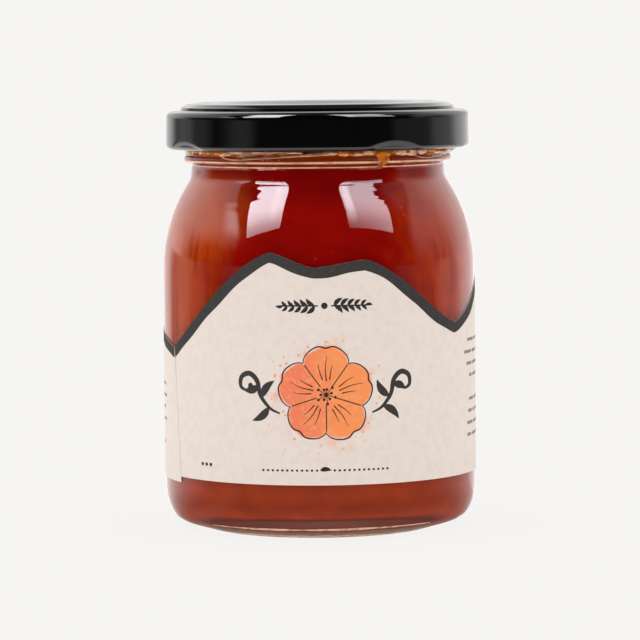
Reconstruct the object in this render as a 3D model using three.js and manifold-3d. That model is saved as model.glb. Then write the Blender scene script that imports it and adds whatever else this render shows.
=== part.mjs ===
// A glass jam jar with a black twist-off lid, full of jam, with a paper label wrapped round it.
// Millimetres, +Z up, the origin on the axis in the plane that the jar stands on.
// The label's front faces -Y. Angles round the jar are measured from that front, growing towards +X.

import * as THREE from 'three';
import { mergeVertices } from 'three/addons/utils/BufferGeometryUtils.js';
import Module from 'manifold-3d';

// Driving dimensions of the jar
const BODY_RADIUS = 31.0;
const WALL = 2.3;
const SHOULDER_START = 51.5;
const RIM_HEIGHT = 82.6;
const BEARING_INNER = 20.6;
const PUSH_UP = 2.6;
const FLOOR_EDGE = 5.0;
const FLOOR_CENTRE = 5.8;
const INNER_HEEL = 7.5;

// The foot, from the bearing ring out along a shallow chamfer and up round the heel: radius, height
const FOOT = [
  [22.3, 0], [24.0, 0.42], [27.6, 1.5], [28.8, 2.15], [29.6, 3.05], [30.3, 4.45], [30.8, 6.1],
  [BODY_RADIUS, 8.2],
];

// The finish: neck, bead, wall and rim
const SHOULDER_END_RADIUS = 25.9;
const NECK_RADIUS = 25.3;
const GROOVE_RADIUS = 25.0;
const GROOVE_HEIGHT = 72.0;
const BEAD_RADIUS = 26.7;
const BEAD_HEIGHT = 73.4;
const FINISH_RADIUS = 26.4;
const MOUTH_RADIUS = 23.6;
const RIM_OUTER_ROUND = 1.2;
const RIM_INNER_ROUND = 1.6;

// The four thread ridges, which run down to the left as seen from outside
const STARTS = 4;
const THREAD_LEAD = 13.3;
const THREAD_SPAN = 112;
const THREAD_LOW_ANGLE = -38;
const THREAD_LOW_HEIGHT = 74.76;
const THREAD_CENTRE_RADIUS = 27.2;
const THREAD_ROUND = 1.25;
const THREAD_DIVE = 2.1;
const THREAD_TAPER = 0.1;

// The jam
const JAM_LEVEL = 77.0;
const JAM_GAP = 0.3;

// The lid
const TOTAL_HEIGHT = 84.4;
const LID_RADIUS = 30.2;
const LID_BOTTOM = 75.25;
const LID_SHEET = 0.6;
const LID_SHOULDER_HEIGHT = 82.5;
const LID_SHOULDER_WIDTH = 1.0;
const LID_SHOULDER_DROP = 1.3;
const PANEL_HEIGHT = 83.15;
const RING_OUTER = 27.05;
const RING_INNER = 23.3;
const RING_LEAN = 0.1;
const RING_ROUND = 0.5;
const BUTTON_RADIUS = 12.3;
const BUTTON_RISE = 0.2;
const BUTTON_DISH = 0.2;
const GASKET_HEIGHT = 82.9;
const CURL_WIDTH = 1.2;
const CURL_HALF_HEIGHT = 0.95;
const CURL_LIP = 0.3;
const LUG_ANGLE = 30;
const LUG_HALF_WIDTH = 8;
const LUG_INNER = 27.9;
const LUG_THICKNESS = 0.5;
const DENT_HALF_WIDTH = 13;
const DENT_HEIGHT = 1.6;
const DENT_DEPTH = 0.5;

// The label
const LABEL_THICKNESS = 0.2;
const LABEL_GAP = 0.06;
const LABEL_START = -70;
const LABEL_END = 298.5;
const LABEL_BOTTOM = 11.36;
const LABEL_SINK = 1.11;
const LABEL_END_SLANT = 4.5;
const LABEL_COLUMNS = 122;
const LAP_RISE_FROM = 276;
const LAP_RISE_TO = 288;
const LAP_LIFT = 0.3;

// Peaks and hollows of the label's hill-shaped top edge: angle, height
const HILLS = [
  [-70, 36.2], [-18, 56.1], [-2, 53.2], [17, 54.6], [58, 41.4], [88, 48.9], [112, 52.5],
  [136, 46.0], [168, 55.0], [196, 50.5], [222, 52.0], [252, 42.0], [276, 39.0], [300, 36.2],
];

const SEGMENTS = 60;
const DEGREE = Math.PI / 180;

const wasm = await Module();
wasm.setup();

// Points along an arc of an ellipse in the r, z plane; 0 degrees points away from the axis, 90 up
function arc(centreR, centreZ, radiusR, radiusZ, from, to, steps) {
  const points = [];
  for (let i = 0; i <= steps; i += 1) {
    const angle = (from + ((to - from) * i) / steps) * DEGREE;
    points.push([centreR + radiusR * Math.cos(angle), centreZ + radiusZ * Math.sin(angle)]);
  }
  return points;
}

// A solid of revolution about Z from a profile of [r, z] points, running up the outside first
function turned(profile) {
  const points = profile.map(([r, z]) => new THREE.Vector2(Math.max(r, 0), z));
  const geometry = new THREE.LatheGeometry(points, SEGMENTS);
  geometry.rotateX(Math.PI / 2);
  return closed(geometry);
}

// The same geometry with its shared vertices merged and its empty triangles dropped
function closed(geometry) {
  geometry.deleteAttribute('normal');
  geometry.deleteAttribute('uv');
  const merged = mergeVertices(geometry, 1e-3);
  const index = merged.index.array;
  const kept = [];
  for (let i = 0; i < index.length; i += 3) {
    const [a, b, c] = [index[i], index[i + 1], index[i + 2]];
    if (a !== b && b !== c && c !== a) kept.push(a, b, c);
  }
  merged.setIndex(kept);
  merged.computeVertexNormals();
  return merged;
}

function toSolid(geometry) {
  const vertProperties = new Float32Array(geometry.attributes.position.array);
  const triVerts = new Uint32Array(geometry.index.array);
  return new wasm.Manifold(new wasm.Mesh({ numProp: 3, vertProperties, triVerts }));
}

function fromSolid(solid) {
  const mesh = solid.getMesh();
  const geometry = new THREE.BufferGeometry();
  geometry.setAttribute('position', new THREE.BufferAttribute(mesh.vertProperties, 3));
  geometry.setIndex(new THREE.BufferAttribute(mesh.triVerts, 1));
  geometry.computeVertexNormals();
  return geometry;
}

// One body made by adding every extra to the first geometry
function fused(geometry, extras) {
  const solid = extras.reduce((sum, extra) => sum.add(toSolid(extra)), toSolid(geometry));
  return fromSolid(solid);
}

function place(radius, angle, height) {
  const turn = angle * DEGREE;
  return new THREE.Vector3(radius * Math.sin(turn), -radius * Math.cos(turn), height);
}

// The angle on the shoulder's sphere where its radius has shrunk to the one given
function sphereAngle(sphereRadius, radius) {
  return Math.acos(radius / sphereRadius) / DEGREE;
}

// The wall, from the mouth down to the middle of the floor, drawn in by a gap where jam meets glass
function innerProfile(gap) {
  const wall = BODY_RADIUS - WALL - gap;
  const mouth = MOUTH_RADIUS - gap;
  const round = INNER_HEEL - gap;
  return [
    ...arc(0, SHOULDER_START, wall, wall, sphereAngle(wall, mouth), 0, 5),
    ...arc(wall - round, FLOOR_EDGE + gap + round, round, round, 0, -90, 4),
    [0, FLOOR_CENTRE + gap],
  ];
}

// The ridge's centre line, which dives into the wall at both ends
class ThreadPath extends THREE.Curve {
  constructor(startAngle) {
    super();
    this.startAngle = startAngle;
  }

  getPoint(t) {
    const edge = Math.min(t, 1 - t) / THREAD_TAPER;
    const dive = THREAD_DIVE * Math.max(0, 1 - edge);
    const turn = THREAD_SPAN * t;
    const height = THREAD_LOW_HEIGHT + (THREAD_LEAD * turn) / 360;
    return place(THREAD_CENTRE_RADIUS - dive, this.startAngle + turn, height);
  }
}

function threadRidge(startAngle) {
  const section = new THREE.Shape();
  section.absarc(0, 0, THREAD_ROUND, 0, 2 * Math.PI);
  const options = { steps: 14, curveSegments: 4, extrudePath: new ThreadPath(startAngle) };
  return closed(new THREE.ExtrudeGeometry(section, options));
}

function jarGlass() {
  const shoulderTop = sphereAngle(BODY_RADIUS, SHOULDER_END_RADIUS);
  const outside = [
    [0, PUSH_UP],
    [BEARING_INNER / 2, PUSH_UP * 0.8],
    [BEARING_INNER - 1.2, 1.2],
    [BEARING_INNER, 0],
    ...FOOT,
    ...arc(0, SHOULDER_START, BODY_RADIUS, BODY_RADIUS, 0, shoulderTop, 7),
    [NECK_RADIUS + 0.2, GROOVE_HEIGHT - 2.3],
    [NECK_RADIUS, GROOVE_HEIGHT - 0.8],
    [GROOVE_RADIUS, GROOVE_HEIGHT],
    [FINISH_RADIUS, BEAD_HEIGHT - 0.6],
    [BEAD_RADIUS, BEAD_HEIGHT - 0.15],
    [BEAD_RADIUS, BEAD_HEIGHT + 0.25],
    [FINISH_RADIUS, BEAD_HEIGHT + 0.8],
  ];
  const rimR = FINISH_RADIUS - RIM_OUTER_ROUND;
  const rim = [
    ...arc(rimR, RIM_HEIGHT - RIM_OUTER_ROUND, RIM_OUTER_ROUND, RIM_OUTER_ROUND, 0, 60, 2),
    ...arc(rimR, RIM_HEIGHT - RIM_INNER_ROUND, RIM_INNER_ROUND, RIM_INNER_ROUND, 90, 180, 3),
  ];
  const ridges = [];
  for (let i = 0; i < STARTS; i += 1) {
    ridges.push(threadRidge(THREAD_LOW_ANGLE + (360 / STARTS) * i));
  }
  return fused(turned([...outside, ...rim, ...innerProfile(0)]), ridges);
}

function jam() {
  const skin = innerProfile(JAM_GAP).reverse();
  return turned([...skin, [MOUTH_RADIUS - JAM_GAP, JAM_LEVEL], [0, JAM_LEVEL]]);
}

// Angle in degrees from the nearest lug
function fromLug(x, y) {
  const angle = Math.atan2(x, -y) / DEGREE - LUG_ANGLE;
  const pitch = 360 / STARTS;
  return angle - Math.round(angle / pitch) * pitch;
}

// The skirt is pressed in under a low arch over each lug
function pressLugDents(geometry) {
  const position = geometry.attributes.position;
  for (let i = 0; i < position.count; i += 1) {
    const [x, y, z] = [position.getX(i), position.getY(i), position.getZ(i)];
    const across = fromLug(x, y) / DENT_HALF_WIDTH;
    const arch = DENT_HEIGHT * Math.max(0, 1 - across * across);
    const below = Math.min(Math.max(LID_BOTTOM + arch - z, 0), 1) * (arch / DENT_HEIGHT);
    const radius = Math.hypot(x, y);
    const scale = radius > LID_RADIUS - 2 ? (radius - DENT_DEPTH * below) / radius : 1;
    position.setXY(i, x * scale, y * scale);
  }
  return geometry;
}

// A lug reaches in from the curl, under the thread ridge
function lug(index) {
  const shape = new THREE.Shape();
  const centre = (LUG_ANGLE + (360 / STARTS) * index - 90) * DEGREE;
  const half = LUG_HALF_WIDTH * DEGREE;
  const outer = LID_RADIUS - CURL_WIDTH + 0.05;
  shape.absarc(0, 0, outer, centre - half, centre + half, false);
  shape.absarc(0, 0, LUG_INNER, centre + half, centre - half, true);
  shape.closePath();
  const options = { depth: LUG_THICKNESS, bevelEnabled: false, curveSegments: 4 };
  const geometry = new THREE.ExtrudeGeometry(shape, options);
  geometry.translate(0, 0, LID_BOTTOM + 0.05);
  return closed(geometry);
}

function lid() {
  const curlR = LID_RADIUS - CURL_WIDTH;
  const curlZ = LID_BOTTOM + CURL_HALF_HEIGHT;
  const inside = LID_RADIUS - LID_SHEET;
  const shoulderR = LID_RADIUS - LID_SHOULDER_WIDTH;
  const shoulderZ = LID_SHOULDER_HEIGHT - LID_SHOULDER_DROP;
  const ringR = RING_OUTER - RING_LEAN - RING_ROUND;
  const profile = [
    ...arc(curlR, curlZ, CURL_WIDTH, CURL_HALF_HEIGHT, -90, 0, 4),
    [LID_RADIUS, LID_BOTTOM + DENT_HEIGHT],
    ...arc(shoulderR, shoulderZ, LID_SHOULDER_WIDTH, LID_SHOULDER_DROP, 0, 90, 4),
    [RING_OUTER + 0.3, LID_SHOULDER_HEIGHT + 0.05],
    [RING_OUTER, LID_SHOULDER_HEIGHT + 0.4],
    ...arc(ringR, TOTAL_HEIGHT - RING_ROUND, RING_ROUND, RING_ROUND, 0, 90, 2),
    [RING_INNER + 1.7, TOTAL_HEIGHT],
    [RING_INNER + 0.8, TOTAL_HEIGHT - 0.35],
    [RING_INNER, PANEL_HEIGHT + 0.1],
    [RING_INNER - 0.5, PANEL_HEIGHT],
    [BUTTON_RADIUS + 1.2, PANEL_HEIGHT],
    [BUTTON_RADIUS, PANEL_HEIGHT + BUTTON_RISE],
    [BUTTON_RADIUS - 1.5, PANEL_HEIGHT],
    [0, PANEL_HEIGHT - BUTTON_DISH],
    [0, PANEL_HEIGHT - BUTTON_DISH - LID_SHEET],
    [MOUTH_RADIUS, PANEL_HEIGHT - LID_SHEET],
    [MOUTH_RADIUS + 0.3, GASKET_HEIGHT],
    [RING_OUTER - 0.5, GASKET_HEIGHT],
    [RING_OUTER - 0.4, LID_SHOULDER_HEIGHT - 0.3],
    [RING_OUTER + 0.3, LID_SHOULDER_HEIGHT - LID_SHEET],
    [inside - 0.7, LID_SHOULDER_HEIGHT - LID_SHEET - 0.05],
    [inside, LID_SHOULDER_HEIGHT - LID_SHEET - 0.6],
    [inside, curlZ + CURL_HALF_HEIGHT + 0.4],
    [curlR - CURL_LIP, curlZ],
    ...arc(curlR, curlZ, CURL_LIP, CURL_HALF_HEIGHT, -150, -90, 2),
  ];
  const lugs = [];
  for (let i = 0; i < STARTS; i += 1) lugs.push(lug(i));
  return fused(pressLugDents(turned(profile)), lugs);
}

// Height of the hill line at an angle, rounded over each peak and hollow
function hillHeight(angle) {
  let i = 0;
  while (i < HILLS.length - 2 && HILLS[i + 1][0] < angle) i += 1;
  const [[fromAngle, fromHeight], [toAngle, toHeight]] = [HILLS[i], HILLS[i + 1]];
  const t = Math.min(Math.max((angle - fromAngle) / (toAngle - fromAngle), 0), 1);
  const eased = 0.45 * t + 0.55 * t * t * (3 - 2 * t);
  return fromHeight + (toHeight - fromHeight) * eased;
}

// A thin box bent round the jar, with the hill line on top and its last end lapped over its first
function label() {
  const geometry = new THREE.BoxGeometry(1, 1, 1, LABEL_COLUMNS, 1, 1);
  const position = geometry.attributes.position;
  for (let i = 0; i < position.count; i += 1) {
    const along = position.getX(i) + 0.5;
    const top = position.getY(i) > 0;
    const outer = position.getZ(i) > 0;
    const slant = top ? LABEL_END_SLANT * THREE.MathUtils.smoothstep(along, 0.9, 1) : 0;
    const angle = LABEL_START + (LABEL_END - LABEL_START) * along - slant;
    const lap = THREE.MathUtils.smoothstep(angle, LAP_RISE_FROM, LAP_RISE_TO);
    const radius = BODY_RADIUS + LABEL_GAP + LAP_LIFT * lap + (outer ? LABEL_THICKNESS : 0);
    const bottom = LABEL_BOTTOM - LABEL_SINK * along * along;
    const height = top ? hillHeight(angle) : bottom;
    const spot = place(radius, angle, height);
    position.setXYZ(i, spot.x, spot.y, spot.z);
  }
  return closed(geometry);
}

function named(name, geometry, look) {
  const mesh = new THREE.Mesh(geometry, new THREE.MeshStandardMaterial(look));
  mesh.name = name;
  return mesh;
}

const clearGlass = { color: 0xe9efec, roughness: 0.05, metalness: 0, transparent: true, opacity: 0.35 };
const redJam = { color: 0x8e2209, roughness: 0.35, metalness: 0 };
const blackEnamel = { color: 0x0a0a0b, roughness: 0.15, metalness: 0 };
const uncoatedPaper = { color: 0xe8dcd4, roughness: 0.9, metalness: 0 };

const jar = new THREE.Group();
jar.add(named('jar_glass', jarGlass(), clearGlass));
jar.add(named('jam', jam(), redJam));
jar.add(named('lid', lid(), blackEnamel));
jar.add(named('label', label(), uncoatedPaper));

export default jar;
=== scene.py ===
"""A squat glass jam jar with a black twist-off lid and a wrap-round paper label.

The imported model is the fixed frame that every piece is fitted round. Sizes in the classes are
millimetres, and meshes are made in metres. Angles round the jar are degrees from the label's front,
which faces -Y, growing towards +X. Heights are above the surface that the jar stands on.
"""

import logging
import math
from dataclasses import dataclass, field
from enum import Enum
from typing import Any, Sequence

import bmesh
import bpy
import numpy as np
from mathutils import Matrix, Vector


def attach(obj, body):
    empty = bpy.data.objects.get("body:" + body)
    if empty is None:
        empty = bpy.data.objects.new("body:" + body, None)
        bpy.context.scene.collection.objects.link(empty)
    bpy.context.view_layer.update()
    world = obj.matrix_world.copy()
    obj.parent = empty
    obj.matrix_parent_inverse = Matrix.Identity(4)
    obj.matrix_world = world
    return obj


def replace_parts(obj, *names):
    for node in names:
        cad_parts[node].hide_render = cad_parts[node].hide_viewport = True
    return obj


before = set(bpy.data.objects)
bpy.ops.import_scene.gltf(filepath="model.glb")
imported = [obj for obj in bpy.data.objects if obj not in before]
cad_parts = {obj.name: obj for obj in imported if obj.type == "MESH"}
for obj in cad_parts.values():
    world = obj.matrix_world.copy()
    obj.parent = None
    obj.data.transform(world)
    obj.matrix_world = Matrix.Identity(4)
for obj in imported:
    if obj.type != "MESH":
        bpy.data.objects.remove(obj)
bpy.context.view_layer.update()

LOG = logging.getLogger("jam_jar")
MM = 0.001
BODY = "root"

Point = tuple[float, float]
Tree = bpy.types.NodeTree
Socket = bpy.types.NodeSocket


class Slot(Enum):
    """The material slots that pieces are passed."""

    GLASS = "glass"
    JAM = "jam"
    LID = "lid_enamel"
    PAPER = "label_paper"


class Ray(Enum):
    """The kinds of ray that a stage surface or the glass treats apart."""

    SHADOW = "Is Shadow Ray"
    BENT = "Is Transmission Ray"
    DIFFUSE = "Is Diffuse Ray"
    GLOSSY = "Is Glossy Ray"


# Curves and meshes


def smooth(low: float, high: float, value: Any) -> Any:
    """Ease from 0 at low to 1 at high.

    Args:
        low: Where the rise starts.
        high: Where the rise ends; below low, the rise runs the other way.
        value: A number or an array.

    Returns:
        The eased number or array, between 0 and 1.
    """
    t = np.clip((np.asarray(value, float) - low) / (high - low), 0.0, 1.0)
    return t * t * (3.0 - 2.0 * t)


def arc(centre: Point, radii: Point, start: float, stop: float, steps: int) -> list[Point]:
    """Points along an arc of an ellipse in the radius and height plane.

    Args:
        centre: Radius and height of the centre.
        radii: Half widths along the radius and along the height.
        start: First angle in degrees; 0 points away from the axis and 90 up.
        stop: Last angle in degrees.
        steps: Number of steps.

    Returns:
        The points, both ends included.
    """
    turns = np.radians(np.linspace(start, stop, steps + 1))
    return [
        (centre[0] + radii[0] * math.cos(t), centre[1] + radii[1] * math.sin(t)) for t in turns
    ]


def curve(knots: Sequence[Point], steps: int) -> np.ndarray:
    """A smooth curve through every knot, by Catmull and Rom's rule.

    Args:
        knots: The points that it passes through.
        steps: Number of steps from knot to knot.

    Returns:
        An array of points, one row each.
    """
    p = np.array([knots[0], *knots, knots[-1]], float)
    t = (np.arange(steps) / steps)[:, None]
    spans = [
        0.5 * (
            2 * p[i] + (p[i + 1] - p[i - 1]) * t
            + (2 * p[i - 1] - 5 * p[i] + 4 * p[i + 1] - p[i + 2]) * t**2
            + (3 * p[i] - p[i - 1] - 3 * p[i + 1] + p[i + 2]) * t**3
        )
        for i in range(1, len(p) - 2)
    ]
    return np.vstack([*spans, p[-1]])


def refine(profile: Sequence[Point], step: float) -> np.ndarray:
    """Split the long spans of a profile so that none is longer than a step.

    Args:
        profile: The points of the profile.
        step: The longest span that stays.

    Returns:
        The finer profile, with every first point kept.
    """
    fine = [profile[0]]
    for (r0, z0), (r1, z1) in zip(profile[:-1], profile[1:]):
        parts = max(1, math.ceil(math.hypot(r1 - r0, z1 - z0) / step))
        fine += [
            (r0 + (r1 - r0) * k / parts, z0 + (z1 - z0) * k / parts) for k in range(1, parts + 1)
        ]
    return np.array(fine)


def around(radius: Any, angle: Any, height: Any) -> np.ndarray:
    """Points round the jar.

    Args:
        radius: Distances from the axis.
        angle: Degrees from the front.
        height: Heights.

    Returns:
        An array whose last axis holds x, y and z.
    """
    radius, angle, height = np.broadcast_arrays(
        np.asarray(radius, float), np.radians(np.asarray(angle, float)), np.asarray(height, float)
    )
    return np.stack([radius * np.sin(angle), -radius * np.cos(angle), height], axis=-1)


def angle_near(angle: Any) -> np.ndarray:
    """Angles as -180 to 180 degrees from the front."""
    return (np.asarray(angle, float) + 180.0) % 360.0 - 180.0


@dataclass
class MeshMaker:
    """Gathers grids of points and makes one piece of them."""

    name: str
    points: list[np.ndarray] = field(default_factory=list)
    faces: list[Sequence[int]] = field(default_factory=list)
    count: int = 0

    def add(self, grid: np.ndarray, caps: bool = False, closed: bool = False) -> None:
        """Join the rows of a grid, each a closed loop of points, by quads.

        Args:
            grid: Points by row and column, in millimetres.
            caps: Whether a face closes the first row and the last.
            closed: Whether the last row joins the first.
        """
        rows, columns = grid.shape[:2]
        index = np.arange(rows * columns).reshape(rows, columns) + self.count
        after = np.roll(index, -1, axis=1)
        quads = np.stack([index[:-1], after[:-1], after[1:], index[1:]], axis=-1)
        self.faces += quads.reshape(-1, 4).tolist()
        if closed:
            seam = np.stack([index[-1], after[-1], after[0], index[0]], axis=-1)
            self.faces += seam.tolist()
        if caps:
            self.faces += [index[0, ::-1].tolist(), index[-1].tolist()]
        self.points.append(grid.reshape(-1, 3))
        self.count += rows * columns

    def finish(
        self, material: bpy.types.Material, slot: Slot, sharp: float = 40.0
    ) -> bpy.types.Object:
        """Make the object, dress it and let it ride on the jar's body.

        Args:
            material: Its material.
            slot: Not used.
            sharp: Edges that turn by more than this many degrees stay sharp.

        Returns:
            The new object.
        """
        mesh = bpy.data.meshes.new(self.name)
        mesh.from_pydata((np.vstack(self.points) * MM).tolist(), [], self.faces)
        work = bmesh.new()
        work.from_mesh(mesh)
        bmesh.ops.remove_doubles(work, verts=work.verts, dist=1e-7)
        bmesh.ops.dissolve_degenerate(work, edges=work.edges, dist=1e-7)
        bmesh.ops.recalc_face_normals(work, faces=work.faces)
        work.to_mesh(mesh)
        work.free()
        mesh.shade_smooth()
        mesh.set_sharp_from_angle(angle=math.radians(sharp))
        mesh.materials.append(material)
        piece = bpy.data.objects.new(self.name, mesh)
        bpy.context.scene.collection.objects.link(piece)
        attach(piece, BODY)
        return piece


# Materials


def linear(colour: str) -> tuple[float, float, float, float]:
    """Turn an sRGB hex colour to linear numbers.

    Args:
        colour: Six hex digits after a hash sign.

    Returns:
        Red, green, blue and an alpha of one.
    """
    parts = [int(colour[i : i + 2], 16) / 255 for i in (1, 3, 5)]
    red, green, blue = [c / 12.92 if c <= 0.04045 else ((c + 0.055) / 1.055) ** 2.4 for c in parts]
    return red, green, blue, 1.0


def per_metre(millimetres: float) -> float:
    """The texture scale that gives a pattern of that size."""
    return 1.0 / (millimetres * MM)


def add_node(
    tree: Tree,
    kind: str,
    settings: dict[str | int, Any] | None = None,
    links: dict[str | int, Socket] | None = None,
) -> bpy.types.Node:
    """Add a node with its settings and links.

    Args:
        tree: The node tree.
        kind: The node's type, without its ShaderNode prefix.
        settings: Values by lower-case attribute, or by input name or number.
        links: Output sockets by input name or number.

    Returns:
        The new node.
    """
    node = tree.nodes.new("ShaderNode" + kind)
    for key, value in (settings or {}).items():
        if isinstance(key, str) and key[0].islower():
            setattr(node, key, value)
        else:
            node.inputs[key].default_value = value
    for key, socket in (links or {}).items():
        tree.links.new(socket, node.inputs[key])
    return node


def new_material(name: str) -> bpy.types.Material:
    """Make an empty material with nodes."""
    material = bpy.data.materials.new(name)
    material.use_nodes = True
    material.node_tree.nodes.clear()
    return material


class Step(Enum):
    """A step in working out a number or a colour: a node's type, and what sets it to that step."""

    EASE = ("MapRange", {"interpolation_type": "SMOOTHSTEP"})
    MIX = ("Mix", {"data_type": "RGBA"})
    TINT = ("Mix", {"data_type": "RGBA", "blend_type": "MULTIPLY"})
    ADD = ("Math", {"operation": "ADD"})
    SUBTRACT = ("Math", {"operation": "SUBTRACT"})
    MULTIPLY = ("Math", {"operation": "MULTIPLY"})
    MULTIPLY_ADD = ("Math", {"operation": "MULTIPLY_ADD"})
    DIVIDE = ("Math", {"operation": "DIVIDE"})
    POWER = ("Math", {"operation": "POWER"})
    SQRT = ("Math", {"operation": "SQRT"})
    ABSOLUTE = ("Math", {"operation": "ABSOLUTE"})
    MINIMUM = ("Math", {"operation": "MINIMUM"})
    MAXIMUM = ("Math", {"operation": "MAXIMUM"})
    COSINE = ("Math", {"operation": "COSINE"})
    ARCTAN2 = ("Math", {"operation": "ARCTAN2"})


def work(tree: Tree, step: Step, *values: Any) -> Socket:
    """Work out one step, by a node that takes its inputs in order.

    Args:
        tree: The node tree.
        step: The step. EASE takes a value, then where its rise starts and ends, and what it gives
            there if that isn't 0 and 1. MIX and TINT take a share and two colours.
        values: Its inputs, each a socket, a number, a pair of numbers or a hex colour.

    Returns:
        The result's socket.
    """
    kind, settings = step.value
    node = add_node(tree, kind, settings)
    flat = [v for value in values for v in (value if isinstance(value, tuple) else (value,))]
    for place, value in zip([socket for socket in node.inputs if socket.enabled], flat):
        if isinstance(value, Socket):
            tree.links.new(value, place)
        else:
            place.default_value = linear(value) if isinstance(value, str) else value
    return next(socket for socket in node.outputs if socket.enabled)


def hypotenuse(tree: Tree, side: Any, other: Any) -> Socket:
    """The length of a line that reaches so far one way and so far the other."""
    squares = [work(tree, Step.POWER, value, 2.0) for value in (side, other)]
    return work(tree, Step.SQRT, work(tree, Step.ADD, *squares))


def heading(tree: Tree, axes: Sequence[Socket]) -> tuple[Any, Any, Any]:
    """Which way and how far from the jar's axis a place or a direction lies.

    Args:
        tree: The node tree.
        axes: Its coordinates one by one.

    Returns:
        Its distance from the axis, and the shares of that towards +X and towards -Y.
    """
    away = hypotenuse(tree, axes[0], axes[1])
    reach = work(tree, Step.MAXIMUM, away, 0.001)
    along = work(tree, Step.DIVIDE, axes[0], reach)
    ahead = work(tree, Step.DIVIDE, work(tree, Step.MULTIPLY, axes[1], -1.0), reach)
    return away, along, ahead


@dataclass(frozen=True)
class FlintGlass:
    """Clear soda-lime container glass, blown in a mould and fire polished.

    The eye sees hard bright reflections of the room, a pale rim where it looks along the wall, and
    bent light in the thick heel and the neck. Diffuse light passes straight through it.
    """

    tint: str = "#F6FAF8"
    ior: float = 1.52
    roughness: float = 0.012

    def material(self) -> bpy.types.Material:
        """Build the material.

        Returns:
            The glass material.
        """
        material = new_material("flint_glass")
        tree = material.node_tree
        glass = add_node(
            tree,
            "BsdfPrincipled",
            {
                "Base Color": linear(self.tint), "Roughness": self.roughness, "IOR": self.ior,
                "Transmission Weight": 1.0,
            },
        )
        clear = add_node(tree, "BsdfTransparent", {"Color": linear(self.tint)})
        path = add_node(tree, "LightPath")
        inner = add_node(
            tree, "MixShader",
            links={0: path.outputs[Ray.DIFFUSE.value], 1: glass.outputs[0], 2: clear.outputs[0]},
        )
        outer = add_node(
            tree, "MixShader",
            links={0: path.outputs[Ray.SHADOW.value], 1: inner.outputs[0], 2: clear.outputs[0]},
        )
        add_node(tree, "OutputMaterial", links={"Surface": outer.outputs[0]})
        return material


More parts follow.
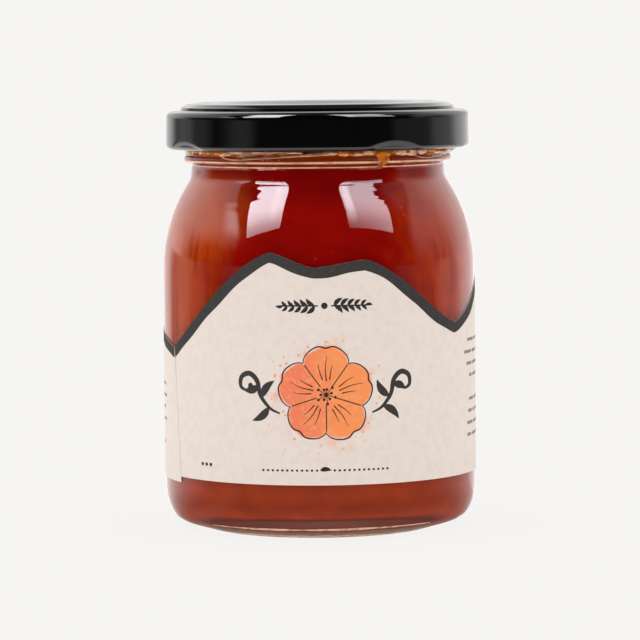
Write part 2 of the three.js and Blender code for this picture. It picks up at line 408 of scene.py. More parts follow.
@dataclass(frozen=True)
class SetJam:
    """Fruit jam, boiled with sugar and set with its own pectin.

    Deep red in the middle. Painted light makes it warmer towards the flanks, most on the left and
    streaked there, where side light glows through the jam; painted shade darkens it up under the
    lid. Painted light from below makes the foot brick red and brightens its rounded bottom edge,
    and painted shade darkens its underside. A painted glow makes it amber behind the bead, where
    light passes through the thin jam under the lid. Soft clouds of pulp and flecks of fruit lie
    against the glass.
    """

    deep: str = "#960803"
    # Painted shade: the next colour darkens the body up under the lid's overhang
    shade: str = "#840402"
    # Painted light: the next three colours make the sides glow warmer, in streaks, where side light
    # passes through the jam
    lit_flank: str = "#BE4304"
    lit_high_flank: str = "#BA4614"
    streak: str = "#8A2205"
    # Painted light and shade low down: the next three colours redden the lower jam as if lit from
    # below, brighten its rounded bottom edge and darken its underside
    foot: str = "#A8360E"
    corner: str = "#CE4A1E"
    heel: str = "#7C301E"
    # Painted light: the next three colours make the jam glow amber behind the bead, where light
    # passes through the thin jam; the pale smear colour is painted light over real smears
    under_neck: str = "#943008"
    neck: str = "#C8681E"
    smear: str = "#F8B080"
    clot: str = "#8A1E04"
    fleck: str = "#C8541A"
    cloud_size: float = 5.5
    fleck_size: float = 2.6
    streak_size: float = 1.6
    smear_size: float = 4.2
    # Where each zone of colour starts and where it is full, in metres: to the right, up, or out
    # from the axis
    left_across: Point = (-0.0165, -0.0265)
    right_across: Point = (0.010, 0.025)
    narrowing_up: Point = (0.051, 0.060)
    narrowing: float = -0.0055
    cloud_shift: float = 0.012
    lit_high_flank_up: Point = (0.054, 0.066)
    shade_up: Point = (0.062, 0.071)
    lit_flank_end_up: Point = (0.0716, 0.0675)
    under_neck_up: Point = (0.0715, 0.0719)
    neck_up: Point = (0.0738, 0.0744)
    foot_up: Point = (0.034, 0.016)
    corner_out: Point = (0.0268, 0.0238)
    corner_up: Point = (0.012, 0.009)
    heel_out: Point = (0.0236, 0.0218)
    heel_up: Point = (0.009, 0.0072)
    # The setting touches glass of nearly its own index, so its own gloss is faint
    ior: float = 1.09
    specular: float = 0.1
    roughness: float = 0.4

    def flanks(self, tree: Tree, spot: Socket, clouds: Socket, axes: Sequence[Socket]) -> Socket:
        """Colour the body: deep in the middle, with painted light warming the flanks and painted
        shade darkening it up under the lid.

        Args:
            tree: The node tree.
            spot: The object coordinates in metres.
            clouds: The clouds of pulp.
            axes: The coordinates one by one.

        Returns:
            The colour's socket.
        """
        place = work(
            tree, Step.MULTIPLY_ADD, clouds, self.cloud_shift,
            work(tree, Step.ADD, axes[0], -self.cloud_shift / 2),
        )
        reach = work(
            tree, Step.MULTIPLY_ADD, work(tree, Step.EASE, axes[2], self.narrowing_up),
            self.narrowing, place,
        )
        left = work(tree, Step.EASE, reach, self.left_across)
        right = work(tree, Step.EASE, place, self.right_across, (0.0, 0.55))
        upright = add_node(
            tree, "VectorMath", {"operation": "MULTIPLY", 1: (1.0, 1.0, 0.14)}, {0: spot}
        )
        lines = add_node(
            tree, "TexNoise",
            {"Scale": per_metre(self.streak_size), "Detail": 2.0, "Roughness": 0.5},
            {"Vector": upright.outputs[0]},
        ).outputs[0]
        # Painted light: the sides glow warmer, broken into streaks
        flank_glow = work(
            tree, Step.MIX, work(tree, Step.EASE, lines, (0.5, 0.68), (0.0, 0.6)), self.lit_flank,
            self.streak,
        )
        flank_glow = work(
            tree, Step.MIX, work(tree, Step.EASE, axes[2], self.lit_high_flank_up), flank_glow,
            self.lit_high_flank,
        )
        # Painted shade: darker up under the lid
        middle = work(
            tree, Step.MIX, work(tree, Step.EASE, axes[2], self.shade_up), self.deep, self.shade
        )
        low = work(tree, Step.EASE, axes[2], self.lit_flank_end_up, (0.12, 1.0))
        flank_glow_share = work(tree, Step.MULTIPLY, work(tree, Step.MAXIMUM, left, right), low)
        return work(tree, Step.MIX, flank_glow_share, middle, flank_glow)

    def neck_glow(self, tree: Tree, spot: Socket, height: Socket, colour: Socket) -> Socket:
        """Lay painted light over the colour: a warmer zone behind the bead and a smeared amber zone
        above it, where light glows through the thin jam under the lid.

        Args:
            tree: The node tree.
            spot: The object coordinates in metres.
            height: The height in metres.
            colour: The colour below.

        Returns:
            The colour's socket.
        """
        flat = add_node(
            tree, "VectorMath", {"operation": "MULTIPLY", 1: (1.0, 1.0, 4.5)}, {0: spot}
        )
        smears = add_node(
            tree,
            "TexNoise",
            {
                "Scale": per_metre(self.smear_size), "Detail": 3.0, "Roughness": 0.6,
                "Distortion": 0.6,
            },
            {"Vector": flat.outputs[0]},
        ).outputs[0]
        # Painted glow behind the bead, mottled by smears and clots
        amber = work(
            tree, Step.MIX, work(tree, Step.EASE, smears, (0.52, 0.62), (0.0, 0.85)), self.neck,
            self.smear,
        )
        amber = work(
            tree, Step.MIX, work(tree, Step.EASE, smears, (0.44, 0.36), (0.0, 0.9)), amber,
            self.clot,
        )
        colour = work(
            tree, Step.MIX, work(tree, Step.EASE, height, self.under_neck_up), colour,
            self.under_neck,
        )
        return work(tree, Step.MIX, work(tree, Step.EASE, height, self.neck_up), colour, amber)

    def material(self) -> bpy.types.Material:
        """Build the material.

        Returns:
            The jam material.
        """
        material = new_material("set_fruit_jam")
        tree = material.node_tree
        spot = add_node(tree, "TexCoord").outputs["Object"]
        axes = add_node(tree, "SeparateXYZ", links={0: spot}).outputs
        clouds = add_node(
            tree, "TexNoise",
            {"Scale": per_metre(self.cloud_size), "Detail": 3.0, "Roughness": 0.55},
            {"Vector": spot},
        ).outputs[0]
        colour = self.flanks(tree, spot, clouds, axes)
        # Painted light from below: a brick red foot and a brighter rounded bottom edge, then
        # painted shade on the underside
        colour = work(
            tree, Step.MIX, work(tree, Step.EASE, axes[2], self.foot_up), colour, self.foot
        )
        across = hypotenuse(tree, axes[0], axes[1])
        turned = work(
            tree, Step.MULTIPLY, work(tree, Step.EASE, across, self.corner_out),
            work(tree, Step.EASE, axes[2], self.corner_up),
        )
        colour = work(tree, Step.MIX, turned, colour, self.corner)
        low = work(
            tree, Step.MULTIPLY, work(tree, Step.EASE, across, self.heel_out),
            work(tree, Step.EASE, axes[2], self.heel_up),
        )
        colour = work(tree, Step.MIX, low, colour, self.heel)
        cells = add_node(
            tree, "TexVoronoi", {"Scale": per_metre(self.fleck_size), "Randomness": 1.0},
            {"Vector": spot},
        ).outputs["Distance"]
        flecks = work(
            tree, Step.MULTIPLY, work(tree, Step.EASE, cells, (0.16, 0.06)),
            work(tree, Step.EASE, clouds, (0.5, 0.62)),
        )
        colour = work(tree, Step.MIX, work(tree, Step.MULTIPLY, flecks, 0.35), colour, self.fleck)
        shade = work(tree, Step.EASE, clouds, (0.32, 0.68), (0.88, 1.08))
        grey = add_node(tree, "CombineColor", links={0: shade, 1: shade, 2: shade}).outputs[0]
        colour = work(tree, Step.TINT, 1.0, colour, grey)
        colour = self.neck_glow(tree, spot, axes[2], colour)
        body = add_node(
            tree, "BsdfPrincipled",
            {"Roughness": self.roughness, "IOR": self.ior, "Specular IOR Level": self.specular},
            {"Base Color": colour},
        )
        add_node(tree, "OutputMaterial", links={"Surface": body.outputs[0]})
        return material


@dataclass(frozen=True)
class ClottedSmear:
    """Jam that has dried on the outside of the neck: amber, sticky and wet-looking."""

    colour: str = "#E27E0C"
    dark: str = "#AC4C05"
    roughness: float = 0.16

    def material(self) -> bpy.types.Material:
        """Build the material.

        Returns:
            The smear's material.
        """
        material = new_material("dried_jam_smear")
        tree = material.node_tree
        spot = add_node(tree, "TexCoord").outputs["Object"]
        thick = add_node(
            tree, "TexNoise", {"Scale": per_metre(1.3), "Detail": 2.0}, {"Vector": spot}
        ).outputs[0]
        colour = work(
            tree, Step.MIX, work(tree, Step.EASE, thick, (0.45, 0.62)), self.colour, self.dark
        )
        body = add_node(
            tree, "BsdfPrincipled", {"Roughness": self.roughness, "IOR": 1.45},
            {"Base Color": colour},
        )
        add_node(tree, "OutputMaterial", links={"Surface": body.outputs[0]})
        return material


@dataclass(frozen=True)
class PaintedLightFinish:
    """Painted light, laid on the glass in thin bands and patches.

    Pale, it is a painted highlight that shows as a pale line on the dark jam; dark red, it is a
    painted reflection of the jam in the heel. A grain breaks it up.
    """

    name: str
    colour: str
    streak: str
    roughness: float = 0.3

    def material(self) -> bpy.types.Material:
        """Build the material.

        Returns:
            The mark's material.
        """
        material = new_material(self.name)
        tree = material.node_tree
        spot = add_node(tree, "TexCoord").outputs["Object"]
        grain = add_node(
            tree, "TexNoise", {"Scale": per_metre(1.8), "Detail": 3.0, "Roughness": 0.6},
            {"Vector": spot},
        ).outputs[0]
        colour = work(
            tree, Step.MIX, work(tree, Step.EASE, grain, (0.46, 0.62), (0.0, 0.9)), self.colour,
            self.streak,
        )
        body = add_node(
            tree, "BsdfPrincipled", {"Roughness": self.roughness, "IOR": 1.5},
            {"Base Color": colour},
        )
        add_node(tree, "OutputMaterial", links={"Surface": body.outputs[0]})
        return material


@dataclass(frozen=True)
class BlackEnamel:
    """Stoving enamel on tinplate, rolled on as sheet and pressed into the lid afterwards.

    Near black with a hard gloss. A faint orange peel softens the edges of what it mirrors.
    """

    colour: str = "#050505"
    roughness: float = 0.065
    ior: float = 1.52
    peel_size: float = 1.1
    peel_depth: float = 0.0012

    def material(self) -> bpy.types.Material:
        """Build the material.

        Returns:
            The enamel material.
        """
        material = new_material("black_stoving_enamel")
        tree = material.node_tree
        spot = add_node(tree, "TexCoord").outputs["Object"]
        peel = add_node(
            tree, "TexNoise", {"Scale": per_metre(self.peel_size), "Detail": 1.0}, {"Vector": spot}
        ).outputs[0]
        bump = add_node(
            tree, "Bump", {"Strength": 0.6, "Distance": self.peel_depth * MM * 4}, {"Height": peel}
        )
        wear = add_node(
            tree, "TexNoise", {"Scale": per_metre(9.0), "Detail": 2.0}, {"Vector": spot}
        ).outputs[0]
        gloss = work(
            tree, Step.EASE, wear, (0.3, 0.7), (self.roughness - 0.02, self.roughness + 0.03)
        )
        coat = add_node(
            tree, "BsdfPrincipled", {"Base Color": linear(self.colour), "IOR": self.ior},
            {"Roughness": gloss, "Normal": bump.outputs[0]},
        )
        add_node(tree, "OutputMaterial", links={"Surface": coat.outputs[0]})
        return material


@dataclass(frozen=True)
class PrintingInk:
    """Offset ink on uncoated paper, flat and a little uneven where the fibres take it up."""

    name: str
    colour: str
    worn: str = "#9A948E"
    roughness: float = 0.75
    grain_size: float = 0.7

    def material(self) -> bpy.types.Material:
        """Build the material.

        Returns:
            The ink material.
        """
        material = new_material(self.name)
        tree = material.node_tree
        spot = add_node(tree, "TexCoord").outputs["Object"]
        grain = add_node(
            tree, "TexNoise", {"Scale": per_metre(self.grain_size), "Detail": 2.0}, {"Vector": spot}
        ).outputs[0]
        share = work(tree, Step.EASE, grain, (0.4, 0.75), (0.0, 0.03))
        colour = work(tree, Step.MIX, share, self.colour, self.worn)
        ink = add_node(
            tree, "BsdfPrincipled",
            {"Roughness": self.roughness, "IOR": 1.45, "Specular IOR Level": 0.25},
            {"Base Color": colour},
        )
        add_node(tree, "OutputMaterial", links={"Surface": ink.outputs[0]})
        return material


@dataclass(frozen=True)
class BlossomWash:
    """A watercolour wash printed on the paper, in the shape of a round five-petalled blossom."""

    centre_side: float = 1.2
    centre_height: float = 28.8
    petal_reach: float = 9.4
    notch: float = 2.3
    bleed: float = 0.5
    red: str = "#F4703F"
    orange: str = "#FC8A38"
    pale: str = "#F6A061"

    def colour(self, tree: Tree, spot: Socket, radius: float, paper: Socket) -> Socket:
        """Lay the wash over the paper's colour.

        Args:
            tree: The paper's node tree.
            spot: The object coordinates in metres.
            radius: The label's radius in millimetres.
            paper: The bare paper's colour.

        Returns:
            The colour with the wash on it.
        """
        axes = add_node(tree, "SeparateXYZ", links={0: spot}).outputs
        turn = work(tree, Step.ARCTAN2, axes[0], work(tree, Step.MULTIPLY, axes[1], -1.0))
        across = work(tree, Step.MULTIPLY_ADD, turn, radius, -self.centre_side)
        up = work(tree, Step.MULTIPLY_ADD, axes[2], 1.0 / MM, -self.centre_height)
        reach = hypotenuse(tree, across, up)
        around_it = work(tree, Step.ARCTAN2, across, up)
        lobes = work(
            tree, Step.ABSOLUTE, work(tree, Step.COSINE, work(tree, Step.MULTIPLY, around_it, 2.5))
        )
        lobes = work(tree, Step.POWER, lobes, 0.55)
        edge = work(tree, Step.MULTIPLY_ADD, lobes, self.notch, self.petal_reach - self.notch)
        wobble = add_node(
            tree, "TexNoise", {"Scale": per_metre(3.2), "Detail": 4.0, "Roughness": 0.6},
            {"Vector": spot},
        ).outputs[0]
        fine = add_node(
            tree, "TexNoise", {"Scale": per_metre(0.9), "Detail": 3.0}, {"Vector": spot}
        ).outputs[0]
        inside = work(tree, Step.SUBTRACT, edge, reach)
        inside = work(tree, Step.ADD, inside, work(tree, Step.MULTIPLY_ADD, wobble, 1.6, -0.8))
        amount = work(tree, Step.EASE, inside, (-self.bleed * 0.4, self.bleed), (0.0, 0.93))
        halo = work(
            tree, Step.MULTIPLY, work(tree, Step.EASE, inside, (-3.4, 0.4), (0.0, 1.0)),
            work(tree, Step.EASE, wobble, (0.47, 0.7), (0.0, 0.5)),
        )
        drops = add_node(
            tree, "TexVoronoi", {"Scale": per_metre(1.5), "Randomness": 1.0}, {"Vector": spot}
        ).outputs["Distance"]
        spatter = work(
            tree, Step.MULTIPLY, work(tree, Step.EASE, drops, (0.24, 0.12), (0.0, 0.75)),
            work(tree, Step.EASE, work(tree, Step.MULTIPLY_ADD, fine, 7.0, inside), (-1.5, 2.5)),
        )
        amount = work(tree, Step.MAXIMUM, amount, work(tree, Step.MAXIMUM, halo, spatter))
        pool = work(
            tree, Step.EASE, work(tree, Step.MULTIPLY_ADD, wobble, 14.0, across), (1.5, 9.5)
        )
        wash = work(tree, Step.MIX, pool, self.red, self.orange)
        light = work(tree, Step.EASE, fine, (0.45, 0.72), (0.0, 0.55))
        wash = work(tree, Step.MIX, light, wash, self.pale)
        return work(tree, Step.MIX, amount, paper, wash)


@dataclass(frozen=True)
class UncoatedPaper:
    """Off-white uncoated label stock with a felt-marked surface.

    Matt and warm, with a faint mottle one to two millimetres across where the fibres lie thicker.
    Real fibres are too fine to show, so they are drawn about four times as coarse.
    """

    colour: str = "#EADDD5"
    mottle_colour: str = "#E6D8CF"
    mottle_size: float = 1.7
    fibre_size: float = 0.35
    roughness: float = 0.9

    def material(self, radius: float, wash: BlossomWash) -> bpy.types.Material:
        """Build the material.

        Args:
            radius: The label's radius in millimetres.
            wash: The wash printed on the paper.

        Returns:
            The paper material.
        """
        material = new_material("uncoated_label_paper")
        tree = material.node_tree
        spot = add_node(tree, "TexCoord").outputs["Object"]
        mottle = add_node(
            tree, "TexNoise",
            {"Scale": per_metre(self.mottle_size), "Detail": 3.0, "Roughness": 0.6},
            {"Vector": spot},
        ).outputs[0]
        colour = work(
            tree, Step.MIX, work(tree, Step.EASE, mottle, (0.42, 0.66)), self.colour,
            self.mottle_colour,
        )
        colour = wash.colour(tree, spot, radius, colour)
        fibres = add_node(
            tree, "TexNoise", {"Scale": per_metre(self.fibre_size), "Detail": 2.0}, {"Vector": spot}
        ).outputs[0]
        bump = add_node(tree, "Bump", {"Strength": 0.35, "Distance": 0.02 * MM}, {"Height": fibres})
        sheet = add_node(
            tree, "BsdfPrincipled", {"Roughness": self.roughness, "IOR": 1.4},
            {"Base Color": colour, "Normal": bump.outputs[0]},
        )
        add_node(tree, "OutputMaterial", links={"Surface": sheet.outputs[0]})
        return material


# The jar


@dataclass
class GlassJar:
    """The glass: pushed-up base, heel, straight body, round shoulder and the finish for the lid."""

    body_radius: float = 31.0
    wall: float = 2.3
    shoulder_start: float = 51.5
    rim_height: float = 82.6
    bearing_inner: float = 20.6
    # From the bearing ring out along a shallow chamfer and up round the heel
    foot: tuple[Point, ...] = (
        (22.3, 0.0), (22.9, 0.08), (24.0, 0.42), (25.8, 0.96), (27.6, 1.5), (28.7, 2.08),
        (29.3, 2.65), (29.8, 3.4), (30.22, 4.25), (30.53, 5.1), (30.8, 6.1), (30.93, 7.1),
        (31.0, 8.4),
    )
    push_up: float = 2.6
    floor_edge: float = 5.0
    floor_centre: float = 5.8
    inner_heel: float = 7.5
    shoulder_end_radius: float = 26.6
    # From the shoulder up through the neck and the groove, over the bead and up to the finish
    neck: tuple[Point, ...] = (
        (26.6, 67.42), (26.27, 67.97), (25.94, 68.52), (25.62, 69.08), (25.42, 69.7), (25.33, 70.4),
        (25.27, 71.0), (25.2, 71.6), (25.08, 71.95), (25.12, 72.15), (25.4, 72.38), (26.0, 72.65),
        (26.5, 72.95), (26.7, 73.35), (26.62, 73.75), (26.42, 74.1), (26.4, 74.6),
    )
    finish_radius: float = 26.4
    # Heights where the finish's plain wall starts, and where the threads fade in and out
    finish_foot: float = 73.7
    thread_from: Point = (73.6, 74.2)
    thread_to: Point = (81.6, 81.0)
    mouth_radius: float = 23.6
    rim_outer_round: float = 1.2
    rim_inner_round: float = 1.6
    starts: int = 4
    thread_lead: float = 13.3
    thread_span: float = 112.0
    thread_low_angle: float = -38.0
    thread_low_height: float = 74.76
    thread_depth: float = 2.0
    thread_half_height: float = 1.3
    thread_taper: float = 9.0
    ripple: float = 0.022
    washboard: float = 0.014
    segments: int = 360

    def inside(self, reach: float = 0.0) -> list[Point]:
        """The wall's inner profile, from the mouth down to the middle of the floor.

        Args:
            reach: How far into the glass the profile is moved.

        Returns:
            The profile's points.
        """
        wall = self.body_radius - self.wall + reach
        mouth = self.mouth_radius + reach
        heel = self.inner_heel + reach
        top = math.degrees(math.acos(mouth / wall))
        return [
            *arc((0, self.shoulder_start), (wall, wall), top, 0, 40),
            *arc((wall - heel, self.floor_edge - reach + heel), (heel, heel), 0, -90, 24),
            (0, self.floor_centre - reach),
        ]

    def outside(self) -> list[Point]:
        """The outer profile, from the middle of the base up to the inner edge of the rim."""
        top = math.degrees(math.acos(self.shoulder_end_radius / self.body_radius))
        base = curve([
            (0, self.push_up), (self.bearing_inner / 2, self.push_up * 0.8),
            (self.bearing_inner - 2.4, self.push_up * 0.5), (self.bearing_inner - 0.7, 0.35),
            (self.bearing_inner, 0),
        ], 8)
        outer, inner = self.rim_outer_round, self.rim_inner_round
        rim = self.finish_radius - outer
        return [
            *map(tuple, base),
            *map(tuple, curve(self.foot, 4)),
            *arc((0, self.shoulder_start), (self.body_radius, self.body_radius), 0, top, 84),
            *map(tuple, curve(self.neck, 5)[1:]),
            *arc((rim, self.rim_height - outer), (outer, outer), 0, 90, 8),
            *arc((self.mouth_radius + inner, self.rim_height - inner), (inner, inner), 90, 180, 8),
        ]

    def thread(self, angle: np.ndarray, height: np.ndarray) -> np.ndarray:
        """How far the thread ridges stand out from the finish.

        Args:
            angle: Degrees from the front.
            height: Heights.

        Returns:
            The rise at each point.
        """
        rise = np.zeros(np.broadcast(angle, height).shape)
        for start in range(self.starts):
            first = self.thread_low_angle + 360.0 / self.starts * start
            for lap in (-360.0, 0.0, 360.0):
                turn = angle + lap - first
                middle = self.thread_low_height + self.thread_lead * turn / 360.0
                ends = smooth(0.0, self.thread_taper, turn)
                ends = ends * smooth(self.thread_span, self.thread_span - self.thread_taper, turn)
                across = (height - middle) / (self.thread_half_height * (0.55 + 0.45 * ends))
                section = np.sqrt(np.clip(1.0 - across**2, 0.0, 1.0))
                rise = np.maximum(rise, self.thread_depth * ends * section)
        return rise

    def radius_at(self, angle: Any, height: Any) -> np.ndarray:
        """The radius of the outer surface above the bearing ring, threads included.

        Args:
            angle: Degrees from the front.
            height: Heights.

        Returns:
            The radii.
        """
        outside = np.array([p for p in self.outside() if p[0] > self.bearing_inner + 1.0])
        rim = int(np.argmax(outside[:, 1] > self.rim_height - self.rim_outer_round))
        outside = outside[: rim + 1]
        base = np.interp(height, outside[:, 1], outside[:, 0])
        return base + self.thread(angle, height) * smooth(*self.thread_from, height)

    def unevenness(self, angle: np.ndarray, height: np.ndarray) -> np.ndarray:
        """The slight waves that a blown wall has, with fine level waves high on the shoulder.

        Args:
            angle: Degrees from the front.
            height: Heights.

        Returns:
            The rise at each point.
        """
        turn = np.radians(angle)
        waves = (
            np.sin(5 * turn + 0.09 * height + 0.7) + 0.7 * np.sin(9 * turn - 0.16 * height + 2.1)
            + 0.6 * np.sin(3 * turn + 0.31 * height + 4.0) + 0.4 * np.sin(16 * turn + 0.12 * height)
        )
        body = smooth(9.0, 16.0, height) * smooth(70.0, 62.0, height)
        high = smooth(62.0, 65.5, height) * smooth(70.0, 68.5, height)
        coarse = np.sin(
            2.7 * height + 0.9 * np.sin(5 * turn) + 0.4
        ) * smooth(-14.0, -24.0, angle_near(angle))
        fine = 0.3 * np.sin(
            7.0 * height + 0.6 * np.sin(9 * turn)
        ) * smooth(18.0, 27.0, angle_near(angle))
        return 0.4 * self.ripple * waves * body + self.washboard * (coarse + fine) * high

    def build(self, finish: FlintGlass) -> bpy.types.Object:
        """Make the glass.

        Args:
            finish: Its finish.

        Returns:
            The glass piece.
        """
        outside = refine(self.outside(), 0.85)
        wall = (outside[:, 0] > self.finish_radius - 0.3) & (outside[:, 1] > self.finish_foot)
        first, last = np.flatnonzero(wall)[[0, -1]]
        fine = refine([tuple(p) for p in outside[first : last + 1]], 0.14)
        profile = np.vstack([outside[:first], fine, outside[last + 1 :], self.inside()])
        angle = np.linspace(0.0, 360.0, self.segments, endpoint=False)[None, :]
        radius, height = profile[:, :1], profile[:, 1:]
        outer = np.arange(len(profile))[:, None] < len(outside) - wall.sum() + len(fine)
        rise = self.thread(angle, height) * smooth(
            *self.thread_from, height
        ) * smooth(*self.thread_to, height)
        rise = (rise + self.unevenness(angle, height)) * outer * (radius > self.finish_radius - 1.6)
        maker = MeshMaker("jar_glass_fine")
        maker.add(around(radius + rise, angle, height))
        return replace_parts(maker.finish(finish.material(), Slot.GLASS, 60.0), "jar_glass")


@dataclass
class Jam:
    """The jam, which fills the jar up under the lid."""

    level: float = 77.0
    reach: float = 0.2
    segments: int = 240

    def build(self, jar: GlassJar, finish: SetJam) -> bpy.types.Object:
        """Make the jam, reaching just into the wall.

        Args:
            jar: The jar that it fills.
            finish: Its finish.

        Returns:
            The jam piece.
        """
        wall = jar.inside(self.reach)
        mouth = jar.mouth_radius + self.reach
        profile = refine(
            [(0, self.level), (mouth - 1.0, self.level), (mouth, self.level - 0.4), *wall], 1.2
        )
        angle = np.linspace(0.0, 360.0, self.segments, endpoint=False)[None, :]
        maker = MeshMaker("jam_fill")
        maker.add(around(profile[:, :1], angle, profile[:, 1:]))
        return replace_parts(maker.finish(finish.material(), Slot.JAM), "jam")


@dataclass
class PaintedGlassLines:
    """Painted light on the glass: highlights in the foot, bead and threads, and the jam mirrored in
    the heel.
    """

    rise: float = 0.03
    sunk: float = 0.05
    foot_line_height: float = 2.45
    foot_line_width: float = 0.4
    # Each stretch of the painted highlight line low in the heel: first and last angle
    foot_line_stretches: tuple[Point, ...] = ((-47.0, 47.0), (66.0, 148.0), (170.0, 236.0), (246.0, 286.0))
    ring_low: float = 0.1
    ring_high: float = 0.78
    jam_reflection_low: float = 0.92
    jam_reflection_high: float = 2.0
    bead_height: float = 72.98
    groove_height: float = 72.08
    # The outline of a thread's low end, from its tip: angle along the thread, height
    thread_under: tuple[Point, ...] = (
        (0.0, 74.5), (2.5, 74.05), (6.0, 73.72), (12.0, 73.62), (22.0, 73.85), (33.0, 74.15),
        (44.0, 74.42), (54.0, 74.66), (62.0, 74.9),
    )
    thread_over: tuple[Point, ...] = (
        (0.0, 74.5), (3.0, 74.78), (8.0, 75.05), (15.0, 75.3), (22.0, 75.5),
    )
    thread_tip: float = -46.7

    def band(self, maker: MeshMaker, jar: GlassJar, angle: np.ndarray, middle: Any, half: Any,
             ends: bool = True) -> None:
        """Add a thin raised band on the glass.

        Args:
            maker: What gathers the shapes.
            jar: The jar.
            angle: Degrees from the front along the band.
            middle: Heights of its middle.
            half: Half its width.
            ends: Whether it has two ends; without them it runs all round.
        """
        section = (
            (-1.0, -self.sunk), (-1.0, 0.0), (-0.4, self.rise), (0.4, self.rise), (1.0, 0.0),
            (1.0, -self.sunk),
        )
        loop = []
        for share, out in section:
            height = middle + half * share
            loop.append(around(jar.radius_at(angle, height) + out, angle, height))
        maker.add(np.stack(loop, axis=1), caps=ends, closed=not ends)

    def foot(self, jar: GlassJar, finish: PaintedLightFinish) -> bpy.types.Object:
        """Make the painted highlights in the foot: a pale line low in the heel and a pale stippled
        bearing ring, where the bright floor shows through the glass.

        Args:
            jar: The jar that they are moulded in.
            finish: Their finish.

        Returns:
            The foot's marks.
        """
        maker = MeshMaker("painted_foot_highlights")
        for first, last in self.foot_line_stretches:
            t = np.linspace(0.0, 1.0, 121)
            half = self.foot_line_width / 2 * np.sin(math.pi * np.clip(t, 0.004, 0.996)) ** 0.4
            half = half * (1 + 0.18 * np.sin(17 * t + first) + 0.1 * np.sin(41 * t))
            middle = self.foot_line_height + 0.06 * np.sin(5 * t + first)
            self.band(maker, jar, first + (last - first) * t, middle, half)
        angle = np.linspace(0.0, 360.0, 360, endpoint=False)
        turn = np.radians(angle)
        low = self.ring_low + 0.05 * np.sin(7 * turn + 1) + 0.03 * np.sin(23 * turn)
        high = self.ring_high + 0.1 * np.cos(2 * turn) + 0.06 * np.sin(9 * turn) + 0.05 * np.sin(
            31 * turn
        )
        self.band(maker, jar, angle, (low + high) / 2, (high - low) / 2, False)
        return maker.finish(finish.material(), Slot.GLASS, 50.0)

    def glow(self, jar: GlassJar, finish: PaintedLightFinish) -> bpy.types.Object:
        """Make a painted reflection: the dark red ring above the bearing ring, where the heel
        mirrors the jam.

        Args:
            jar: The jar that it lies in.
            finish: Its finish.

        Returns:
            The dark ring.
        """
        maker = MeshMaker("painted_foot_reflection")
        angle = np.linspace(0.0, 360.0, 360, endpoint=False)
        turn = np.radians(angle)
        low = self.jam_reflection_low + 0.06 * np.sin(5 * turn + 2) + 0.04 * np.sin(19 * turn)
        high = self.jam_reflection_high + 0.05 * np.sin(6 * turn) + 0.03 * np.sin(17 * turn)
        self.band(maker, jar, angle, (low + high) / 2, (high - low) / 2, False)
        return maker.finish(finish.material(), Slot.GLASS, 50.0)

    def neck(self, jar: GlassJar, finish: PaintedLightFinish) -> bpy.types.Object:
        """Make painted highlights: pale gleams under the bead, in the groove below it and along the
        threads' low ends.

        Args:
            jar: The jar that they lie on.
            finish: Their finish.

        Returns:
            The neck's marks.
        """
        maker = MeshMaker("painted_neck_highlights")
        angle = np.linspace(0.0, 360.0, 360, endpoint=False)
        turn = np.radians(angle)
        wave = 0.25 * np.sin(4 * turn + 0.6) + 0.15 * np.sin(11 * turn)
        self.band(maker, jar, angle, self.bead_height + 0.03 * wave, 0.19 * (1 + 0.5 * wave), False)
        self.band(
            maker, jar, angle, self.groove_height - 0.03 * wave, 0.11 * (1 - 0.6 * wave), False
        )
        for start in range(jar.starts):
            tip = self.thread_tip + 360.0 / jar.starts * start
            for outline, width in ((self.thread_under, 0.17), (self.thread_over, 0.15)):
                path = curve(outline, 7)
                share = np.linspace(0.0, 1.0, len(path))
                half = width / 2 * (
                    1 + 0.4 * np.sin(9 * share + start)
                ) * smooth(0.0, 0.08, share + 0.03)
                half = half * smooth(1.0, 0.75, share) + 0.01
                self.band(maker, jar, tip + path[:, 0], path[:, 1], half)
        return maker.finish(finish.material(), Slot.GLASS, 50.0)


@dataclass
class NeckPatches:
    """Flat ragged patches on the outside of the neck, under the lid."""

    name: str
    # Each patch: angle, height, half its width and half its height
    places: tuple[tuple[float, float, float, float], ...]
    thickness: float = 0.3
    ragged: float = 0.5
    sunk: float = 0.05

    def build(self, jar: GlassJar, finish: ClottedSmear | PaintedLightFinish) -> bpy.types.Object:
        """Make the patches as one piece.

        Args:
            jar: The jar that they lie on.
            finish: Their finish.

        Returns:
            The patches piece.
        """
        maker = MeshMaker(self.name)
        t = np.linspace(0.0, 2 * math.pi, 28, endpoint=False)
        section = (
            (1.0, -self.sunk), (1.0, 0.0), (0.86, 0.55), (0.6, 0.85), (0.3, 1.0), (0.05, 1.0),
        )
        for number, (middle, height, wide, tall) in enumerate(self.places):
            ragged = 1 + (
                0.14 * np.sin(3 * t + number) + 0.1 * np.sin(5 * t + 2.3 * number)
            ) * self.ragged
            loops = []
            for share, out in section:
                z = height + tall * share * ragged * np.sin(t)
                angle = middle + np.degrees(wide / jar.finish_radius) * share * ragged * np.cos(t)
                lift = out * self.thickness if out > 0 else out
                loops.append(around(jar.radius_at(angle, z) + lift, angle, z))
            maker.add(np.stack(loops, axis=0), caps=True)
        return maker.finish(finish.material(), Slot.JAM, 60.0)


# Dried jam: drops and dabs under the lid and one drip over the bead
JAM_SMEARS = NeckPatches(
    "jam_smears",
    (
        (28.6, 73.4, 1.2, 1.5), (28.4, 74.5, 1.75, 0.75), (-47.6, 74.85, 1.3, 0.44),
        (-53.8, 74.9, 0.75, 0.4), (-57.6, 75.0, 0.7, 0.4), (-64.5, 75.05, 0.9, 0.35),
        (-72.0, 75.0, 0.8, 0.4), (10.0, 74.85, 0.75, 0.4), (13.8, 74.6, 0.5, 0.25),
        (33.5, 74.95, 0.6, 0.3), (56.0, 75.0, 1.2, 0.4), (61.0, 74.8, 0.6, 0.3),
        (118.0, 74.9, 1.3, 0.4), (152.0, 74.8, 0.9, 0.45), (201.0, 74.95, 1.4, 0.4),
        (247.0, 74.85, 0.8, 0.35),
    ),
)
